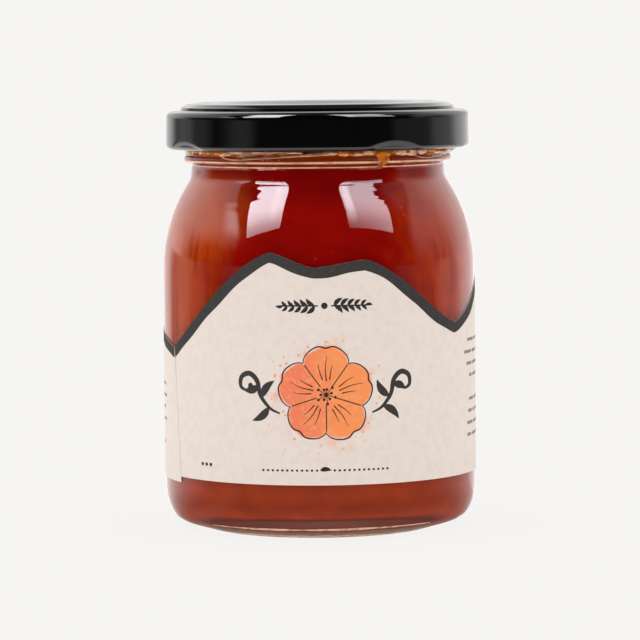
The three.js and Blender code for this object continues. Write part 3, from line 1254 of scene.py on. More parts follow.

# Painted highlights: pale patches for gleams of light in the glass between bead and lid
NECK_GLEAMS = NeckPatches(
    "painted_neck_glints",
    (
        (6.0, 74.72, 0.9, 0.2), (11.4, 74.6, 1.3, 0.3), (17.2, 74.55, 1.1, 0.26),
        (21.8, 74.8, 1.2, 0.34), (38.2, 74.65, 1.3, 0.46), (43.6, 74.45, 1.5, 0.34),
        (44.5, 74.95, 0.9, 0.24), (50.4, 74.7, 1.3, 0.38), (58.6, 74.55, 1.1, 0.22),
        (66.0, 74.8, 1.0, 0.28), (-60.6, 74.9, 0.6, 0.4), (-68.8, 74.85, 0.7, 0.4),
        (-77.0, 74.7, 0.8, 0.3), (-43.5, 74.55, 1.9, 0.24), (-36.0, 75.0, 2.0, 0.28),
        (-24.0, 75.1, 1.2, 0.16), (-9.0, 74.95, 1.4, 0.12), (97.0, 74.7, 1.2, 0.25),
        (133.0, 74.8, 1.0, 0.3), (171.0, 74.6, 1.3, 0.25), (222.0, 74.8, 1.1, 0.3),
    ),
    thickness=0.05,
    ragged=1.0,
)


@dataclass
class TwistOffLid:
    """The pressed lid: curl, lugs, skirt with arches, raised ring, panel and button."""

    radius: float = 30.2
    bottom: float = 75.25
    sheet: float = 0.45
    shoulder_height: float = 82.5
    top: float = 84.4
    panel: float = 83.15
    ring_outer: float = 27.2
    ring_inner: float = 18.5
    # From the skirt's straight wall up and in over the shoulder to the raised ring's foot
    shoulder: tuple[Point, ...] = (
        (30.15, 81.6), (30.1, 81.9), (29.94, 82.22), (29.65, 82.5), (29.2, 82.73), (28.7, 82.89),
        (28.3, 82.95), (27.2, 82.8),
    )
    # Up the raised ring's outer side to its sloping crown
    crown: tuple[Point, ...] = (
        (27.2, 83.5), (26.6, 83.79), (26.1, 84.06), (25.85, 84.19), (25.2, 84.31),
    )
    button_radius: float = 12.3
    button_rise: float = 0.2
    button_dish: float = 0.2
    gasket_height: float = 82.9
    mouth_radius: float = 23.6
    curl_width: float = 1.2
    curl_half_height: float = 0.95
    curl_lip: float = 0.25
    lugs: int = 4
    lug_angle: float = 30.0
    lug_half_width: float = 8.0
    lug_inner: float = 27.9
    lug_thickness: float = 0.45
    dent_half_width: float = 13.0
    dent_height: float = 1.6
    dent_depth: float = 0.5
    segments: int = 360

    def outside(self) -> list[Point]:
        """The outer profile, from the curl's lowest point up and in to the middle of the panel."""
        wide, half = self.curl_width, self.curl_half_height
        dip = [
            (24.5, self.top), (23.8, self.top - 0.06), (22.8, self.top - 0.25),
            (21.6, self.top - 0.54), (20.4, self.top - 0.87), (19.4, self.panel + 0.09),
            (self.ring_inner, self.panel),
        ]
        button = [
            (self.button_radius + 1.6, self.panel), (self.button_radius + 0.4, self.panel + 0.1),
            (self.button_radius - 0.3, self.panel + self.button_rise),
            (self.button_radius - 1.4, 83.2), (self.button_radius - 3.0, self.panel - 0.06),
            (0, self.panel - self.button_dish),
        ]
        return [
            *arc((self.radius - wide, self.bottom + half), (wide, half), -90, 0, 14),
            (self.radius + 0.02, self.bottom + self.dent_height),
            (self.radius - 0.04, 80.4),
            *map(tuple, curve(self.shoulder, 5)),
            *self.crown,
            *map(tuple, curve(dip, 5)),
            *map(tuple, curve(button, 6)),
        ]

    def underside(self) -> list[Point]:
        """The inner profile, from the middle of the panel out and down to the curl's lip."""
        inner, sheet = self.radius - self.sheet, self.sheet
        half, lip = self.curl_half_height, self.curl_lip
        return [
            (0, self.panel - self.button_dish - sheet),
            (self.mouth_radius - 0.6, self.panel - sheet),
            (self.mouth_radius - 0.2, self.gasket_height),
            (self.ring_outer - 0.6, self.gasket_height),
            (self.ring_outer - 0.5, self.shoulder_height - 0.3),
            (self.ring_outer + 0.2, self.shoulder_height - sheet),
            *arc((inner - 0.8, self.shoulder_height - sheet - 0.8), (0.8, 0.8), 90, 0, 6),
            (inner, self.bottom + 2 * half + 0.5),
            *arc((self.radius - self.curl_width, self.bottom + half), (lip, half), 100, 265, 12),
        ]

    def press_dents(self, grid: np.ndarray) -> np.ndarray:
        """Press the skirt in under a low arch over each lug.

        Args:
            grid: The lid's points.

        Returns:
            The points with the dents.
        """
        x, y, z = np.moveaxis(grid, -1, 0)
        radius = np.hypot(x, y)
        pitch = 360.0 / self.lugs
        off = np.degrees(np.arctan2(x, -y)) - self.lug_angle
        off = off - np.round(off / pitch) * pitch
        share = np.clip(1.0 - (off / self.dent_half_width) ** 2, 0.0, 1.0)
        line = self.bottom + 0.15 + self.dent_height * share
        below = smooth(0.15, -0.75, z - line) * np.sqrt(share)
        moved = radius - self.dent_depth * below * (radius > self.radius - 1.6)
        scale = np.where(radius > 1e-6, moved / np.maximum(radius, 1e-6), 1.0)
        return np.stack([x * scale, y * scale, z], axis=-1)

    def lug(self, maker: MeshMaker, centre: float) -> None:
        """Add one lug, which reaches in from the curl under the thread.

        Args:
            maker: What gathers the lid's shapes.
            centre: Its angle.
        """
        low, outer = self.bottom + 0.12, self.radius - self.curl_width + 0.05
        angle = np.linspace(-self.lug_half_width, self.lug_half_width, 17)
        tip = self.lug_inner + 0.9 * (np.abs(angle) / self.lug_half_width) ** 4
        section = [
            (outer, low), (tip, low + 0.05), (tip - 0.12, low + self.lug_thickness / 2),
            (tip, low + self.lug_thickness), (outer, low + self.lug_thickness + 0.15),
        ]
        maker.add(np.stack([around(r, centre + angle, z) for r, z in section], axis=1), caps=True)

    def build(self, finish: BlackEnamel) -> bpy.types.Object:
        """Make the lid.

        Args:
            finish: Its finish.

        Returns:
            The lid piece.
        """
        profile = refine([*self.outside(), *self.underside()], 0.5)
        angle = np.linspace(0.0, 360.0, self.segments, endpoint=False)[None, :]
        maker = MeshMaker("lid_pressed")
        grid = around(profile[:, :1], angle, profile[:, 1:])
        maker.add(self.press_dents(grid), closed=True)
        for i in range(self.lugs):
            self.lug(maker, self.lug_angle + 360.0 / self.lugs * i)
        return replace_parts(maker.finish(finish.material(), Slot.LID, 55.0), "lid")


@dataclass
class PaperLabel:
    """The paper, wrapped once round, with a hill line on top and its last end lapped over."""

    jar_radius: float = 31.0
    gap: float = 0.02
    thickness: float = 0.09
    start: float = -70.0
    end: float = 298.5
    end_slant: float = 4.5
    bottom: float = 11.36
    drift: float = -1.11
    lap_from: float = 276.0
    lap_to: float = 288.0
    lap_lift: float = 0.11
    columns: int = 732
    # Peaks and hollows of the hill line: angle, height
    hills: tuple[Point, ...] = (
        (-70, 36.2), (-18, 56.1), (-2, 53.2), (17, 54.6), (58, 41.4), (88, 48.9), (112, 52.5),
        (136, 46.0), (168, 55.0), (196, 50.5), (222, 52.0), (252, 42.0), (276, 39.0), (300, 36.2),
    )

    @property
    def outer(self) -> float:
        """The radius of the paper's printed side."""
        return self.jar_radius + self.gap + self.thickness

    def hill_height(self, angle: np.ndarray) -> np.ndarray:
        """Height of the hill line, rounded over each peak and hollow.

        Args:
            angle: Degrees from the front, along the label.

        Returns:
            The heights.
        """
        knots = np.array(self.hills, float)
        i = np.clip(np.searchsorted(knots[:, 0], angle, side="right") - 1, 0, len(knots) - 2)
        span = knots[i + 1] - knots[i]
        t = np.clip((angle - knots[i, 0]) / span[..., 0], 0.0, 1.0)
        return knots[i, 1] + span[..., 1] * (0.45 * t + 0.55 * t * t * (3 - 2 * t))

    def bottom_height(self, angle: np.ndarray) -> np.ndarray:
        """Height of the lower edge, which sinks a little along the label."""
        return self.bottom + self.drift * ((angle - self.start) / (self.end - self.start)) ** 2

    def surface(self, angle: Any, height: Any, lift: float = 0.0) -> np.ndarray:
        """Points on the printed side.

        Args:
            angle: Degrees from the front, along the label.
            height: Heights.
            lift: Distance above the paper.

        Returns:
            The points.
        """
        lap = self.lap_lift * smooth(self.lap_from, self.lap_to, angle)
        return around(self.outer + lap + lift, angle, height)

    def build(self, finish: UncoatedPaper, wash: BlossomWash) -> bpy.types.Object:
        """Make the paper.

        Args:
            finish: Its finish.
            wash: The wash printed on it.

        Returns:
            The label piece.
        """
        along = np.linspace(0.0, 1.0, self.columns + 1)
        angle = self.start + (self.end - self.start) * along
        slant = self.end_slant * smooth(0.9, 1.0, along)
        top_angle = angle - slant
        low, high = self.bottom_height(angle), self.hill_height(top_angle)
        loop = [
            self.surface(angle, low, -self.thickness), self.surface(angle, low),
            self.surface(top_angle, high), self.surface(top_angle, high, -self.thickness),
        ]
        maker = MeshMaker("label_sheet")
        maker.add(np.stack(loop, axis=1), caps=True)
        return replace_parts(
            maker.finish(finish.material(self.outer, wash), Slot.PAPER, 30.0), "label"
        )


@dataclass
class LabelPrint:
    """The ink on the label: the dark hill band, a blossom, tendrils, a sprig, rules and dashes."""

    label: PaperLabel
    below: float = 0.01
    above: float = 0.02
    band_width: float = 2.05
    seed: int = 7

    def stroke(self, maker: MeshMaker, path: np.ndarray, width: Any, across: int = 2) -> None:
        """Add a line of ink along a path.

        Args:
            maker: What gathers the shapes.
            path: Points along the label and up it, in millimetres.
            width: The line's width, one number or one for each point.
            across: How many faces lie side by side.
        """
        path = np.asarray(path, float)
        tangent = np.gradient(path, axis=0)
        tangent /= np.maximum(np.linalg.norm(tangent, axis=1, keepdims=True), 1e-9)
        normal = np.stack([-tangent[:, 1], tangent[:, 0]], axis=1)
        half = np.broadcast_to(np.asarray(width, float) / 2, len(path))[:, None]
        sides = [path + normal * half * k for k in np.linspace(-1.0, 1.0, across + 1)]
        degrees = 180.0 / (math.pi * self.label.outer)
        over = [self.label.surface(s[:, 0] * degrees, s[:, 1], self.above) for s in sides]
        under = [self.label.surface(s[:, 0] * degrees, s[:, 1], -self.below) for s in sides[::-1]]
        maker.add(np.stack(over + under, axis=1), caps=True)

    def dot(self, maker: MeshMaker, centre: Point, radius: float, tall: float = 1.0) -> None:
        """Add a round or long dot.

        Args:
            maker: What gathers the shapes.
            centre: Its place along the label and up it.
            radius: Half its width.
            tall: Its height as a share of its width.
        """
        t = np.cos(np.linspace(math.pi, 0.0, 13))
        path = np.stack([centre[0] + radius * t, np.full_like(t, centre[1])], axis=1)
        self.stroke(maker, path, 2 * radius * tall * np.sqrt(1 - t**2), 2)

    def leaf(self, maker: MeshMaker, root: Point, turn: float, length: float, width: float) -> None:
        """Add a filled leaf.

        Args:
            maker: What gathers the shapes.
            root: Where it joins its stem.
            turn: Its direction in degrees, 0 along the label and 90 up.
            length: Its length.
            width: Its greatest width.
        """
        t = np.linspace(0.0, 1.0, 15)
        way = math.radians(turn)
        bow = 0.12 * length * np.sin(math.pi * t)
        x = root[0] + length * t * math.cos(way) - bow * math.sin(way)
        z = root[1] + length * t * math.sin(way) + bow * math.cos(way)
        self.stroke(maker, np.stack([x, z], axis=1), width * np.sin(math.pi * t**0.8) ** 0.9, 4)

    def hill_band(self, ink: PrintingInk) -> bpy.types.Object:
        """The dark band that follows the cut edge.

        Args:
            ink: Its ink.

        Returns:
            The band piece.
        """
        label = self.label
        last = label.end - label.end_slant
        angle = np.linspace(label.start, last, 1200)
        side = np.radians(angle) * label.outer
        top = label.hill_height(angle)
        width = self.band_width * (
            1 + 0.05 * np.sin(side * 0.31 + 1.0) + 0.04 * np.sin(side * 0.83)
        )
        offsets = np.linspace(-1.0, 1.0, 41)
        reach = side[:, None] + offsets[None, :] * width[:, None]
        drop = width[:, None] * np.sqrt(1 - offsets[None, :] ** 2)
        low = (np.interp(reach, side, top) - drop).min(axis=1)
        loop = [
            label.surface(angle, low, self.above), label.surface(angle, top, self.above),
            label.surface(angle, top, -self.below), label.surface(angle, low, -self.below),
        ]
        maker = MeshMaker("label_hill_band")
        maker.add(np.stack(loop, axis=1), caps=True)
        return maker.finish(ink.material(), Slot.PAPER, 30.0)

    def blossom(self, ink: PrintingInk, wash: BlossomWash) -> bpy.types.Object:
        """The blossom's thin outline, its stamens, two leaves and a curling tendril at each side.

        Args:
            ink: Its ink.
            wash: The wash that it is drawn round.

        Returns:
            The outline piece.
        """
        maker = MeshMaker("label_blossom")
        x0, z0 = wash.centre_side, wash.centre_height
        for petal in range(5):
            middle = math.radians(72 * petal)
            t = np.linspace(-1.0, 1.0, 49)
            turn = middle + np.radians(36.0) * t * 1.02
            lobe = np.abs(np.cos(2.5 * (turn - middle))) ** 0.55
            reach = wash.petal_reach - wash.notch + wash.notch * lobe
            reach = reach - 0.55 * np.exp(-((t / 0.16) ** 2)) + 0.12 * math.cos(3.0 * petal)
            path = np.stack([x0 + reach * np.sin(turn), z0 + reach * np.cos(turn)], axis=1)
            self.stroke(maker, path, 0.17 + 0.12 * np.cos(t * 1.5), 1)
            for off, inner, outer in ((-14, 2.9, 6.2), (0, 2.6, 7.4), (13, 3.0, 5.8)):
                way = middle + math.radians(off)
                line = np.linspace(inner, outer, 9)
                bend = way + 0.03 * np.sin(line)
                path = np.stack([x0 + line * np.sin(bend), z0 + line * np.cos(bend)], axis=1)
                self.stroke(maker, path, np.linspace(0.24, 0.08, 9), 1)
            seam = middle + math.radians(36)
            line = np.linspace(1.9, wash.petal_reach - wash.notch, 13)
            path = np.stack([x0 + line * np.sin(seam), z0 + line * np.cos(seam)], axis=1)
            self.stroke(maker, path, 0.2, 1)
        for k in range(11):
            way = math.radians(360 / 11 * k + 8)
            reach = 1.05 + 0.75 * (k % 2)
            tip = (x0 + reach * math.sin(way), z0 + reach * math.cos(way))
            self.stroke(maker, np.linspace((x0, z0), tip, 4), 0.14, 1)
            self.dot(maker, tip, 0.27)
        self.dot(maker, (x0, z0), 0.42)
        return maker.finish(ink.material(), Slot.PAPER, 30.0)

    def tendrils(self, ink: PrintingInk, wash: BlossomWash) -> bpy.types.Object:
        """A bold curling tendril with leaves at each side of the blossom.

        Args:
            ink: Its ink.
            wash: The wash that they spring from.

        Returns:
            The tendril piece.
        """
        maker = MeshMaker("label_tendrils")
        x0, z0 = wash.centre_side, wash.centre_height
        for way in (-1, 1):
            knots = [(9.0, -3.6), (11.0, -2.6), (12.9, -0.2), (13.6, 2.6), (15.2, 4.0), (16.9, 3.3),
                     (17.1, 1.5), (15.9, 0.8), (15.0, 1.7)]
            path = curve([(x0 + way * x, z0 + z) for x, z in knots], 8)
            t = np.linspace(0.0, 1.0, len(path))
            self.stroke(
                maker, path, 0.25 + 0.75 * np.sin(math.pi * np.clip(t * 0.92 + 0.06, 0, 1)) ** 1.4,
                3,
            )
            self.dot(maker, tuple(path[-1]), 0.5)
            leaves = (((11.2, -2.4), -38, 4.4), ((12.6, -0.6), 128, 4.2), ((13.4, 1.7), -22, 3.0))
            for root, turn, length in leaves:
                angle = turn if way > 0 else 180 - turn
                self.leaf(maker, (x0 + way * root[0], z0 + root[1]), angle, length, 1.5)
        return maker.finish(ink.material(), Slot.PAPER, 30.0)

    def title_sprig(self, ink: PrintingInk) -> bpy.types.Object:
        """A level sprig of paired leaves, in the middle above the blossom.

        Args:
            ink: Its ink.

        Returns:
            The sprig piece.
        """
        maker = MeshMaker("label_title_sprig")
        centre, height, half = 1.0, 45.9, 8.4
        self.dot(maker, (centre, height), 0.62)
        for way in (-1, 1):
            start, stop = centre + way * 1.3, centre + way * half
            self.stroke(maker, np.linspace((start, height), (stop, height), 12), 0.28, 1)
            for k in range(5):
                root = (centre + way * (1.9 + 1.32 * k), height)
                for side in (-1, 1):
                    turn = side * 42.0
                    angle = turn if way > 0 else 180 - turn
                    self.leaf(maker, root, angle, 2.15 - 0.17 * k, 0.85 - 0.06 * k)
            self.leaf(maker, (stop - way * 0.4, height), 0 if way > 0 else 180, 1.5, 0.6)
        return maker.finish(ink.material(), Slot.PAPER, 30.0)

    def small_marks(self, ink: PrintingInk) -> bpy.types.Object:
        """The dotted rule under the blossom and the three dots at the lower left.

        Args:
            ink: Its ink.

        Returns:
            The marks piece.
        """
        maker = MeshMaker("label_small_marks")
        centre, height = 1.0, 14.2
        for k in range(1, 13):
            for way in (-1, 1):
                self.dot(maker, (centre + way * (0.75 + k * 0.96), height), 0.24, 0.9)
        self.leaf(maker, (centre - 1.1, height), 0, 2.2, 0.9)
        for k in range(3):
            self.dot(maker, (-25.8 + 1.15 * k, 14.6), 0.34)
        return maker.finish(ink.material(), Slot.PAPER, 30.0)

    def dash_rows(self, ink: PrintingInk) -> bpy.types.Object:
        """Blocks of plain grey dashes, at both sides and behind.

        Args:
            ink: Its ink.

        Returns:
            The rows piece.
        """
        maker = MeshMaker("label_text_rows")
        draw = np.random.default_rng(self.seed)
        side = math.radians(1.0) * self.label.outer
        blocks = ((66, 104, 37.5, 10, 2.35), (146, 196, 44.0, 9, 2.4), (236, 286, 29.0, 6, 2.35))
        for left, right, top, rows, pitch in blocks:
            for row in range(rows):
                if row % 5 == 4:
                    continue
                inset = draw.uniform(0.0, 3.0)
                x, stop = left * side + inset, right * side - draw.uniform(0.0, 5.0)
                height = top - pitch * row
                while x < stop:
                    length = min(draw.uniform(1.2, 5.2), max(stop - x, 0.8))
                    self.stroke(maker, np.linspace((x, height), (x + length, height), 6), 0.62, 1)
                    x += length + 0.75
        return maker.finish(ink.material(), Slot.PAPER, 30.0)


# The studio


def add_sheet(name: str, points: Any, faces: Any, material: bpy.types.Material) -> bpy.types.Object:
    """Make a plain sheet of the studio.

    Args:
        name: Its name.
        points: Its corners in metres.
        faces: Its faces as corner numbers.
        material: Its material.

    Returns:
        The new object.
    """
    mesh = bpy.data.meshes.new(name)
    mesh.from_pydata(points, [], faces)
    mesh.materials.append(material)
    sheet = bpy.data.objects.new(name, mesh)
    bpy.context.scene.collection.objects.link(sheet)
    return sheet


def leave_to_gloss(light: bpy.types.Object) -> None:
    """Hide a light from all but the gloss that mirrors it."""
    light.visible_camera = False
    light.visible_diffuse = False
    light.visible_transmission = False
    light.visible_shadow = False


@dataclass(frozen=True)
class SoftWindow:
    """A tall pale window that only gloss picks up, dimmer towards its foot.

    Its corners are azimuth and elevation as seen from the jar: foot left, foot right, head right
    and head left.
    """

    name: str
    corners: tuple[Point, Point, Point, Point]
    power: float
    foot_power: float
    full_from: float
    # A brighter upright band: where it lies across the window, half its width and what it adds
    band: tuple[float, float, float] = (0.0, 0.1, 0.0)
    # How much brighter the foot is at the right than at the left
    foot_lean: float = 0.0
    # How far the left edge, or with a minus the right one, is eaten in: share of the height, and
    # share of the width
    bites: tuple[Point, ...] = ((0.0, 0.0), (1.0, 0.0))
    distance: float = 1.2
    eye_height: float = 0.06
    colour: str = "#F2EFF6"
    columns: int = 12
    rows: int = 120

    def corner(self, place: Point) -> np.ndarray:
        """Where a corner lies."""
        azimuth, elevation = np.radians(place)
        level = self.distance * math.cos(elevation)
        return np.array([
            level * math.sin(azimuth), -level * math.cos(azimuth),
            self.eye_height + self.distance * math.sin(elevation),
        ])

    def light(self) -> bpy.types.Material:
        """Build the light's material.

        Returns:
            The material.
        """
        material = new_material(self.name + "_light")
        tree = material.node_tree
        place = add_node(
            tree, "SeparateXYZ", links={0: add_node(tree, "TexCoord").outputs["UV"]}
        ).outputs
        foot = work(tree, Step.MULTIPLY_ADD, place[0], self.foot_lean, self.foot_power)
        share = work(tree, Step.EASE, place[1], (0.0, self.full_from))
        full = work(tree, Step.MULTIPLY, share, self.power)
        rest = work(tree, Step.MULTIPLY, work(tree, Step.SUBTRACT, 1.0, share), foot)
        middle, half, extra = self.band
        off = work(tree, Step.ABSOLUTE, work(tree, Step.SUBTRACT, place[0], middle))
        glare = work(
            tree, Step.MULTIPLY, work(tree, Step.EASE, off, (half, 0.3 * half), (0.0, extra)), share
        )
        power = work(tree, Step.ADD, work(tree, Step.ADD, full, rest), glare)
        glow = add_node(tree, "Emission", {"Color": linear(self.colour)}, {"Strength": power})
        add_node(tree, "OutputMaterial", links={"Surface": glow.outputs[0]})
        return material

    def build(self) -> bpy.types.Object:
        """Make the window as a grid between its corners.

        Returns:
            The light's sheet.
        """
        foot_left, foot_right, head_right, head_left = map(self.corner, self.corners)
        across = np.linspace(0.0, 1.0, self.columns + 1)
        u, v = (a[..., None] for a in np.meshgrid(across, np.linspace(0.0, 1.0, self.rows + 1)))
        bite = np.interp(v, *np.array(sorted(self.bites)).T)
        u = u + np.maximum(bite, 0.0) * (1 - u) + np.minimum(bite, 0.0) * u
        foot = foot_left * (1 - u) + foot_right * u
        head = head_left * (1 - u) + head_right * u
        points = foot * (1 - v) + head * v
        index = np.arange(u.size).reshape(u.shape[:2])
        quads = np.stack(
            [index[:-1, :-1], index[:-1, 1:], index[1:, 1:], index[1:, :-1]], axis=-1
        ).reshape(-1, 4)
        sheet = add_sheet(self.name, points.reshape(-1, 3).tolist(), quads.tolist(), self.light())
        places = np.concatenate([u, v], axis=-1).reshape(-1, 2)
        layer = sheet.data.uv_layers.new(name="place")
        layer.data.foreach_set("uv", places[quads.ravel()].ravel())
        leave_to_gloss(sheet)
        return sheet


@dataclass(frozen=True)
class LightCard:
    """A white card round the foot of the jar, which only the gloss of the lid above it picks up."""

    height: float = 0.0125
    inner: float = 0.036
    outer: float = 0.26
    power: float = 1.6
    far_power: float = 0.85
    # How far out its full power starts
    full_from: float = 0.11
    colour: str = "#FFFEFD"
    segments: int = 64

    def light(self) -> bpy.types.Material:
        """Build the light's material.

        Returns:
            The material.
        """
        material = new_material("light_card_glow")
        tree = material.node_tree
        axes = add_node(
            tree, "SeparateXYZ", links={0: add_node(tree, "TexCoord").outputs["Object"]}
        ).outputs
        away = hypotenuse(tree, axes[0], axes[1])
        power = work(
            tree, Step.EASE, away, (self.outer, self.full_from), (self.far_power, self.power)
        )
        glow = add_node(tree, "Emission", {"Color": linear(self.colour)}, {"Strength": power})
        add_node(tree, "OutputMaterial", links={"Surface": glow.outputs[0]})
        return material

    def build(self) -> bpy.types.Object:
        """Make the card as a flat ring that glows.

        Returns:
            The card.
        """
        turn = np.linspace(0.0, 2 * math.pi, self.segments, endpoint=False)
        points = [
            (reach * math.sin(t), -reach * math.cos(t), self.height)
            for reach in (self.inner, self.outer) for t in turn
        ]
        index = np.arange(self.segments)
        after = np.roll(index, -1)
        quads = np.stack([index, after, after + self.segments, index + self.segments], axis=1)
        card = add_sheet("light_card", points, quads.tolist(), self.light())
        leave_to_gloss(card)
        return card


@dataclass(frozen=True)
class RoomInGloss:
    """What gloss mirrors of the room: dark in front, pale at the sides and bright behind."""

    dark: float = 0.006
    low_front: float = 0.03
    left_wall: float = 1.3
    left_rim: float = 2.6
    right_wall: float = 0.92
    behind_side: float = 1.35
    behind: float = 1.0
    far_behind: float = 0.45
    dark_ceiling: float = 0.93
    low_gleam: float = 0.32
    left_floor: tuple[tuple[float, float, float], ...] = (
        (0.15, -0.1, 0.24), (-0.25, -0.4, 0.28), (-0.5, -0.68, -0.22), (-0.68, -0.85, 0.82),
    )
    right_floor: tuple[tuple[float, float, float], ...] = (
        (0.58, 0.45, 0.17), (0.0, -0.2, 0.42), (-0.45, -0.68, 0.76),
    )

    def strength(self, tree: Tree, along: Any, ahead: Any, rise: Any) -> Socket:
        """How bright the room is in a direction.

        Args:
            tree: The node tree.
            along: The direction's level part towards +X, out of one.
            ahead: Its level part towards -Y, out of one.
            rise: The sine of its elevation.

        Returns:
            The strength's socket.
        """
        rightward = work(tree, Step.EASE, along, (-0.5, 0.5))
        leftward = work(tree, Step.SUBTRACT, 1.0, rightward)
        # The walls' near edges lean back with height
        lean = work(
            tree, Step.POWER, work(tree, Step.MAXIMUM, work(tree, Step.ADD, rise, -0.3), 0.0), 2.0
        )
        front = work(tree, Step.MULTIPLY_ADD, lean, 2.8, ahead)
        back_part = work(tree, Step.MINIMUM, ahead, 0.0)
        foot = work(tree, Step.MULTIPLY_ADD, back_part, -0.25, rise)
        left = work(
            tree, Step.MULTIPLY, work(tree, Step.EASE, foot, (0.17, 0.41), (0.04, self.left_wall)),
            work(tree, Step.EASE, rise, (0.45, 0.62), (1.0, 0.84)),
        )
        rim = work(
            tree,
            Step.MULTIPLY,
            work(tree, Step.EASE, front, (0.08, 0.32), (0.0, self.left_rim)),
            work(
                tree, Step.MULTIPLY, work(tree, Step.EASE, rise, (0.3, 0.46)),
                work(tree, Step.EASE, rise, (0.62, 0.52)),
            ),
        )
        left = work(
            tree, Step.MULTIPLY, work(tree, Step.ADD, left, rim),
            work(tree, Step.EASE, front, (0.47, 0.37)),
        )
        right = work(
            tree, Step.MULTIPLY, work(tree, Step.EASE, rise, (-0.05, 0.5), (0.2, self.right_wall)),
            work(tree, Step.EASE, rise, (0.56, 0.68), (1.0, 0.66)),
        )
        right = work(
            tree, Step.MULTIPLY, right, work(tree, Step.EASE, ahead, (-0.2, -0.6), (1.0, 1.2))
        )
        right = work(tree, Step.MULTIPLY, right, work(tree, Step.EASE, front, (0.31, 0.12)))
        upper = work(
            tree, Step.MULTIPLY, work(tree, Step.EASE, rise, (0.5, 0.62), (0.0, 0.3)),
            work(tree, Step.EASE, ahead, (0.38, 0.15)),
        )
        right = work(tree, Step.MAXIMUM, right, upper)
        side = work(
            tree, Step.ADD, work(tree, Step.MULTIPLY, left, leftward),
            work(tree, Step.MULTIPLY, right, rightward),
        )
        back_share = work(tree, Step.EASE, ahead, (-0.3, -0.72))
        back = work(tree, Step.EASE, ahead, (-0.75, -1.0), (self.behind_side, self.behind))
        straight = work(
            tree, Step.EASE, work(tree, Step.ABSOLUTE, along), (0.35, 0.2), (0.0, self.far_behind)
        )
        back = work(
            tree, Step.ADD, back,
            work(tree, Step.MULTIPLY, straight, work(tree, Step.EASE, rise, (0.12, 0.22))),
        )
        ceiling = work(
            tree, Step.MULTIPLY,
            work(tree, Step.EASE, work(tree, Step.ABSOLUTE, along), (0.75, 0.45)),
            work(tree, Step.EASE, rise, (0.6, 0.75), (0.0, self.dark_ceiling)),
        )
        back = work(tree, Step.MULTIPLY, back, work(tree, Step.SUBTRACT, 1.0, ceiling))
        kept = work(tree, Step.MULTIPLY, side, work(tree, Step.SUBTRACT, 1.0, back_share))
        pale = work(tree, Step.MULTIPLY_ADD, back, back_share, kept)
        above = work(tree, Step.ADD, pale, self.dark)
        below = self.far_floor(tree, along, ahead)
        level = work(tree, Step.EASE, rise, (0.05, 0.02))
        return work(tree, Step.MULTIPLY_ADD, work(tree, Step.SUBTRACT, below, above), level, above)

    def far_floor(self, tree: Tree, along: Any, ahead: Any) -> Socket:
        """How bright the far floor is in a direction, in darker and paler stretches.

        Args:
            tree: The node tree.
            along: The direction's level part towards +X, out of one.
            ahead: Its level part towards -Y, out of one.

        Returns:
            The strength's socket.
        """
        left = self.stairs(tree, ahead, self.left_floor)
        right = self.stairs(tree, ahead, self.right_floor)
        rightward = work(tree, Step.EASE, along, (-0.1, 0.1))
        side = work(
            tree, Step.MULTIPLY_ADD, work(tree, Step.SUBTRACT, right, left), rightward, left
        )
        off = work(tree, Step.ABSOLUTE, work(tree, Step.ADD, along, 0.85))
        gleam = work(tree, Step.EASE, off, (0.16, 0.02), (0.0, self.low_gleam))
        gleam = work(tree, Step.MULTIPLY, gleam, work(tree, Step.EASE, ahead, (0.0, 0.3)))
        return work(tree, Step.ADD, work(tree, Step.ADD, side, gleam), self.low_front)

    def stairs(self, tree: Tree, ahead: Any, steps: Sequence[tuple[float, float, float]]) -> Any:
        """Add up ramps of brightness.

        Args:
            tree: The node tree.
            ahead: The direction's level part towards -Y, out of one.
            steps: Each ramp's start, its end and what it adds.

        Returns:
            The sum's socket.
        """
        total: Any = 0.0
        for start, end, extra in steps:
            total = work(
                tree, Step.ADD, work(tree, Step.EASE, ahead, (start, end), (0.0, extra)), total
            )
        return total


